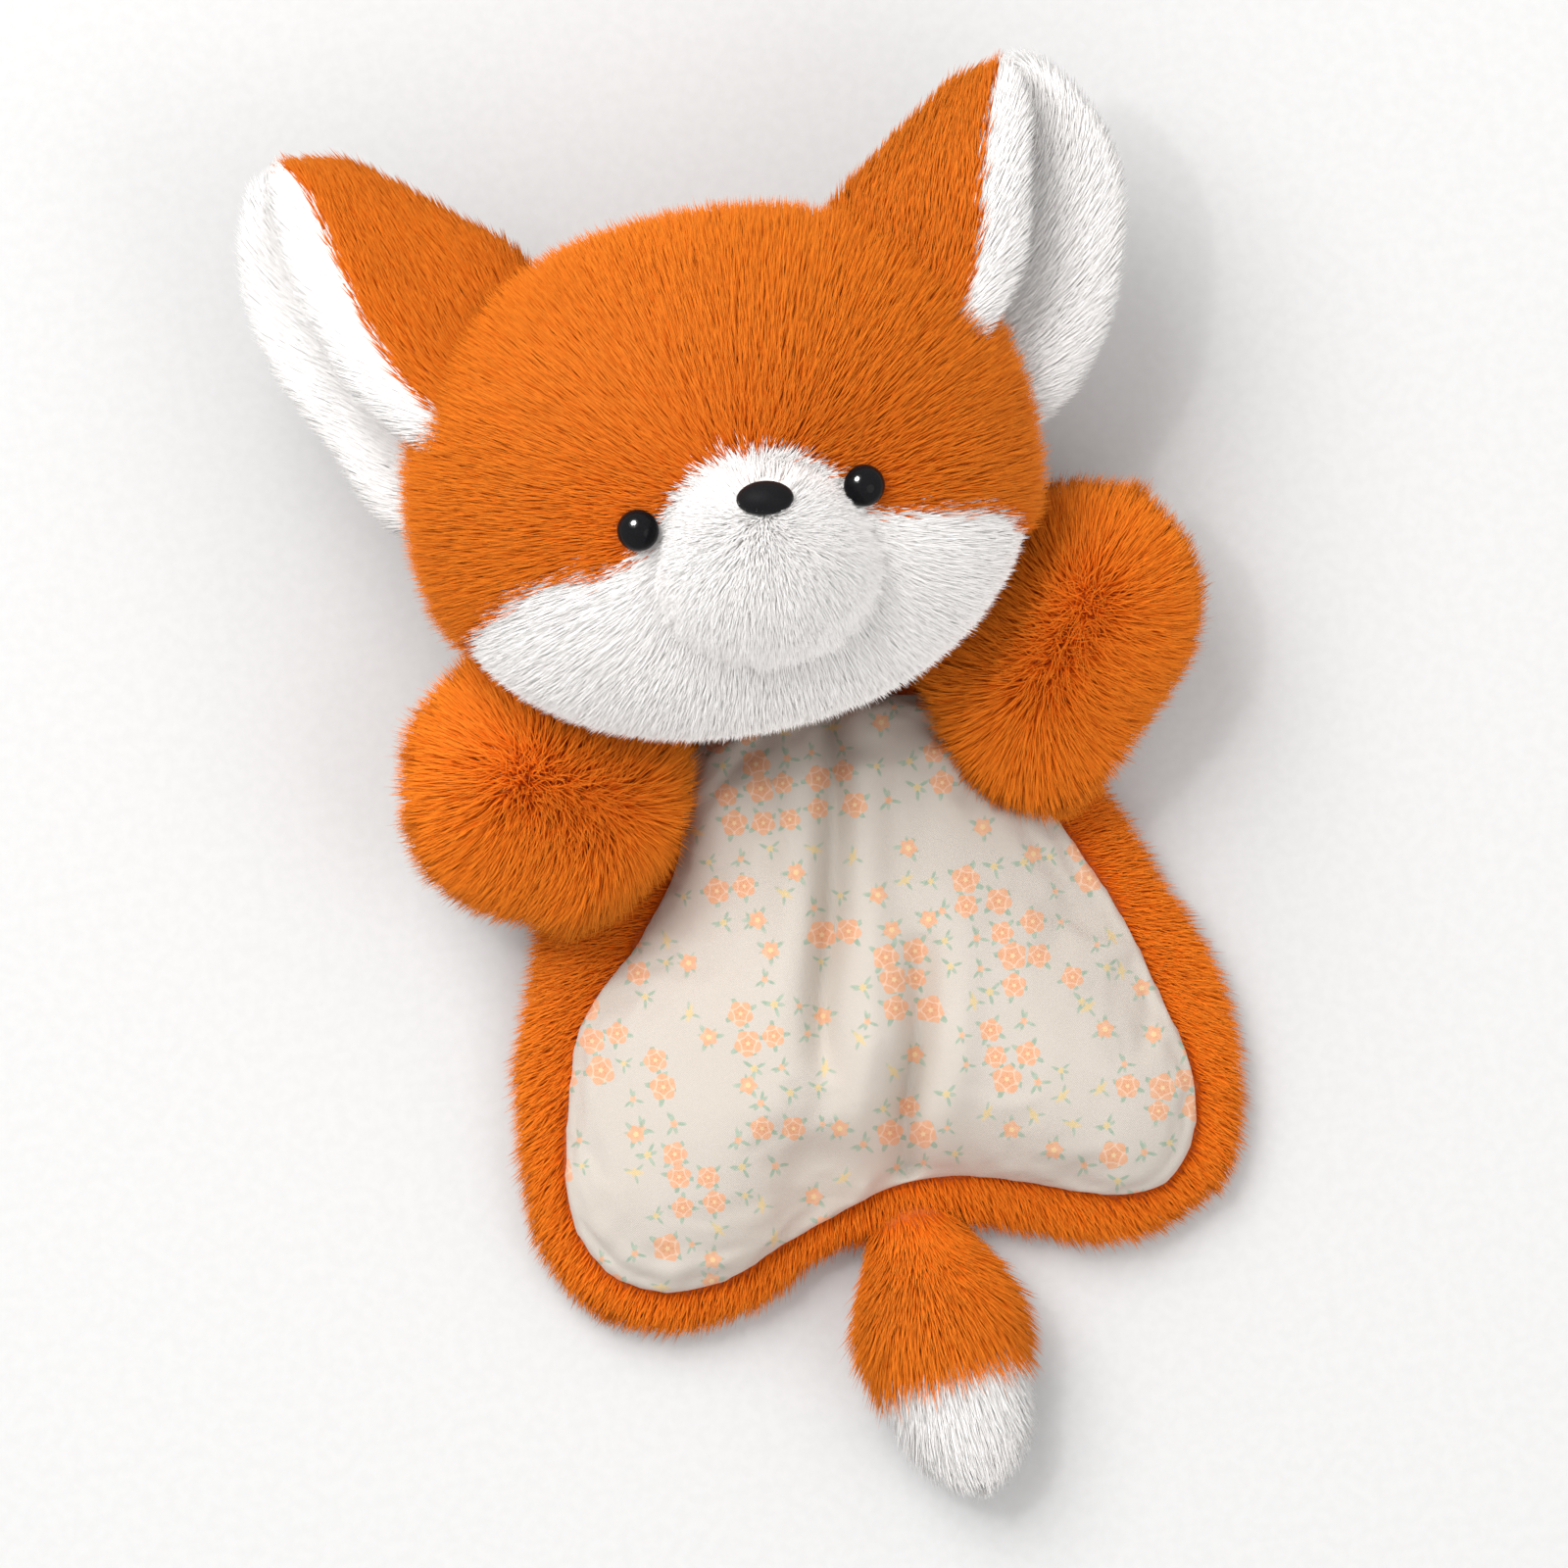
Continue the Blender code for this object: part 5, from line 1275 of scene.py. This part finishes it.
class FOX_OT_body(bpy.types.Operator):
    """Orange back and rolled border, with the neck's stuffing"""

    bl_idname = "fox.body"
    bl_label = "Body"

    def execute(self, context):
        size = sizes()
        angles = circle(216)
        border, panel = body_reaches(angles)
        inset = size.pile_rise
        roll = np.minimum(BORDER_ROLL, (border - panel) / 2)
        low, high = FLOOR_GAP, BORDER_HEIGHT - inset * 0.75
        rings = [ring_round(angles, border * share, low) for share in (0.25, 0.5, 0.75)]
        for bend in np.radians(np.linspace(-90.0, 90.0, 11)):
            out = border - inset - roll * (1.0 - math.cos(bend))
            rings.append(ring_round(angles, out, (low + high) / 2 + (high - low) / 2 * math.sin(bend)))
        for share in (0.35, 0.7, 1.0):
            out = (border - inset - roll) * (1 - share) + (panel - 0.004) * share
            rings.append(ring_round(angles, out, high))
        rings.append(ring_round(angles, panel * 0.5, high))
        rings = np.array(rings)
        rings[..., 2] = np.maximum(np.minimum(rings[..., 2], under_head(rings)), low)
        item = closed_rings("body_backing", rings, (0.0, BODY_MIDDLE_Y, low), (0.0, BODY_MIDDLE_Y, high))
        item.data.materials.append(orange_backing())
        settle(item, "body", "orange_plush", "body_back_cover", "body_filling")
        points, normals = places_of(item), normals_of(item)
        outward = unit((points - (0.0, BODY_MIDDLE_Y, 0.0)) * FLAT)
        bearing, reach = from_middle(points)
        panel = body_reaches(bearing)[1]
        bottom = points[:, 2] < low + 0.0005
        hidden = bottom | (reach < panel - 0.0005)
        orange = body_pile()
        grow(
            "body_border_pile", "body", item, lying(outward + (0.0, -0.35, 0.0), normals), ~hidden,
            size.body_pile * 0.85, orange, lean=1.2, density=1.35, stray=0.45,
            growth=0.55 + 0.45 * ease(reach - panel, 0.0, 0.006),
        )
        grow(
            "body_back_pile", "body", item, lying((0.0, -1.0, 0.0) + outward * 0.3, normals), bottom,
            size.body_pile * 0.8, orange, lean=2.6, density=0.40,
        )
        neck_low, neck_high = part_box("neck_filling")
        centre, radius = np.array((neck_low + neck_high) / 2) + (0.0, 0.011, -0.004), 0.0105
        turn, lean = globe(40, 22)
        ball = centre + radius * np.stack(
            (np.sin(lean) * np.cos(turn), np.sin(lean) * np.sin(turn), np.cos(lean)), axis=-1
        )
        neck = closed_rings("neck_backing", ball, centre + (0.0, 0.0, radius), centre - (0.0, 0.0, radius))
        neck.data.materials.append(orange_backing())
        settle(neck, "neck", "polyester_fibre", "neck_filling")
        comb = lying(np.array((0.0, -1.0, 0.2)), normals_of(neck))
        grow("neck_pile", "neck", neck, comb, 1.0, 0.0035, orange, lean=1.2)
        return {"FINISHED"}


class FOX_OT_panel(bpy.types.Operator):
    """Printed cotton front, puffed as cloth and creased"""

    bl_idname = "fox.panel"
    bl_label = "Cotton front"

    def execute(self, context):
        angles = circle(160)
        panel = body_reaches(angles)[1]
        slack = 0.0012
        bottom, top = SEAM_LEVEL - 0.0035, PANEL_CROWN - slack
        way_in, lift = np.array(PANEL_RISE_SHARES).T
        rings = [ring_round(angles, panel * way, bottom) for way in (0.05, 0.3, 0.6, 0.85, 0.985)]
        for way in (1.0 - np.linspace(0.0, 1.0, 30) ** 1.5)[:-1]:
            level = SEAM_LEVEL + (top - SEAM_LEVEL) * float(np.interp(1.0 - way, way_in, lift))
            rings.append(ring_round(angles, panel * way, level))
        item = closed_rings("body_front", rings, (0.0, BODY_MIDDLE_Y, bottom), (0.0, BODY_MIDDLE_Y, top))
        remesh = item.modifiers.new("Remesh", "REMESH")
        remesh.mode = "VOXEL"
        remesh.voxel_size = 0.0022
        item.modifiers.new("Soften", "SMOOTH").iterations = 6
        apply_modifiers(item)
        puffed(item, sizes().puff, places_of(item)[:, 2] < SEAM_LEVEL + 0.0015, cap=0.0035)
        finer = item.modifiers.new("Finer", "SUBSURF")
        finer.levels = finer.render_levels = 1
        apply_modifiers(item)
        points = places_of(item)
        bearing, reach = from_middle(points)
        reach = reach / body_reaches(bearing)[1]
        crown = ease(points[:, 2], SEAM_LEVEL, SEAM_LEVEL + 0.006)
        ripple = np.sin(bearing * 46.0 + 2.0 * np.sin(bearing * 5.0)) * np.exp(-((reach - 0.95) / 0.05) ** 2)
        points[:, 2] += 0.00030 * ripple * crown
        points[:, 2] -= crease_depth(points[:, :2]) * crown
        points[:, 2] = np.minimum(points[:, 2], np.maximum(under_head(points), SEAM_LEVEL - 0.004))
        move(item, points)
        item.data.shade_smooth()
        item.data.materials.clear()
        item.data.materials.append(cotton_material())
        settle(item, "body", "print_cotton", "body_front_panel")
        return {"FINISHED"}


# Stage


class FOX_OT_stage(bpy.types.Operator):
    """Pale floor, soft studio light and the photograph's view"""

    bl_idname = "fox.stage"
    bl_label = "Stage"

    def execute(self, context):
        scene = context.scene
        scene.view_settings.view_transform = "Standard"
        mesh = bpy.data.meshes.new("floor")
        half = 3.0
        corners = ((-half, -half, 0.0), (half, -half, 0.0), (half, half, 0.0), (-half, half, 0.0))
        mesh.from_pydata(corners, [], [(0, 1, 2, 3)])
        floor = added("floor", mesh)
        graph = Graph("floor_paper")
        tooth = graph.noise(graph.place(), 400.0, 3.0)
        colour = graph.mix(graph.smooth(tooth, 0.3, 0.7), (0.57, 0.57, 0.57, 1.0), (0.59, 0.59, 0.59, 1.0))
        graph.fixed("Emission Color", WHITE)
        graph.put(graph.shader.inputs["Emission Strength"], graph.maths("MULTIPLY", graph.seen(), 0.03))
        graph.fixed("Specular IOR Level", 0.0)
        mesh.materials.append(graph.finish(colour, graph.smooth(tooth, 0.2, 0.8, 0.95, 0.85)))

        scene.world = bpy.data.worlds.new("studio")
        scene.world.use_nodes = True
        sky = Tree(scene.world.node_tree)
        sky.nodes.clear()
        room = sky.node("ShaderNodeBackground", {"Color": (1.0, 0.99, 0.98, 1.0), "Strength": 0.86})
        backdrop = sky.node("ShaderNodeBackground", {"Color": WHITE})
        shaders = {"Fac": sky.seen(), 1: room.outputs[0], 2: backdrop.outputs[0]}
        mixed = sky.node("ShaderNodeMixShader", shaders)
        sky.node("ShaderNodeOutputWorld", {"Surface": mixed.outputs[0]})

        for name, place, width, power in (
            ("key", (-0.62, 1.15, 1.50), 1.5, 32.0),
            ("spark", (-0.50, 0.60, 1.60), 0.10, 3.5),
            ("fill", (0.95, -0.55, 1.30), 1.1, 5.0),
            ("glint", (-0.52, 1.03, 1.31), 0.70, 280.0),
        ):
            lamp = bpy.data.lights.new(name, "AREA")
            lamp.shape = "DISK"
            lamp.size = width
            lamp.energy = power
            holder = added(name, lamp)
            holder.location = place
            holder.rotation_euler = (VIEW_AIM - Vector(place)).to_track_quat("-Z", "Y").to_euler()
        # The last lamp reaches only the highlights of the beads
        holder.visible_diffuse = False
        holder.light_linking.receiver_collection = glint_group()

        camera = bpy.data.cameras.new("view")
        camera.sensor_width = SENSOR
        camera.lens = SENSOR * VIEW_DISTANCE / VIEW_WIDTH
        scene.camera = added("view", camera)
        scene.camera.location = VIEW_AIM + Vector((0.0, 0.0, VIEW_DISTANCE))
        scene.camera.rotation_euler = (0.0, 0.0, -VIEW_LEAN)
        return {"FINISHED"}


class FOX_PT_panel(bpy.types.Panel):
    """Lists the steps, the sizes and the colours"""

    bl_idname = "FOX_PT_panel"
    bl_label = "Plush fox"
    bl_space_type = "VIEW_3D"
    bl_region_type = "UI"
    bl_category = "Plush fox"

    def draw(self, context):
        for step in STEPS:
            self.layout.operator(step.bl_idname)
        for group in (context.scene.fox_sizes, context.scene.fox_colours):
            for name in group.bl_rna.properties.keys():
                if name not in ("rna_type", "name"):
                    self.layout.prop(group, name)


STEPS = (
    FOX_OT_stage, FOX_OT_head, FOX_OT_beads, FOX_OT_ears,
    FOX_OT_arms, FOX_OT_tail, FOX_OT_body, FOX_OT_panel,
)
CLASSES = (FoxSizes, FoxColours, *STEPS, FOX_PT_panel)


def register():
    for item in CLASSES:
        bpy.utils.register_class(item)
    bpy.types.Scene.fox_sizes = PointerProperty(type=FoxSizes)
    bpy.types.Scene.fox_colours = PointerProperty(type=FoxColours)


def unregister():
    del bpy.types.Scene.fox_colours
    del bpy.types.Scene.fox_sizes
    for item in reversed(CLASSES):
        bpy.utils.unregister_class(item)


def main():
    register()
    bpy.ops.fox.stage()
    bpy.ops.fox.head()
    bpy.ops.fox.beads()
    bpy.ops.fox.ears()
    bpy.ops.fox.arms()
    bpy.ops.fox.tail()
    bpy.ops.fox.body()
    bpy.ops.fox.panel()


if __name__ == "__main__":
    main()
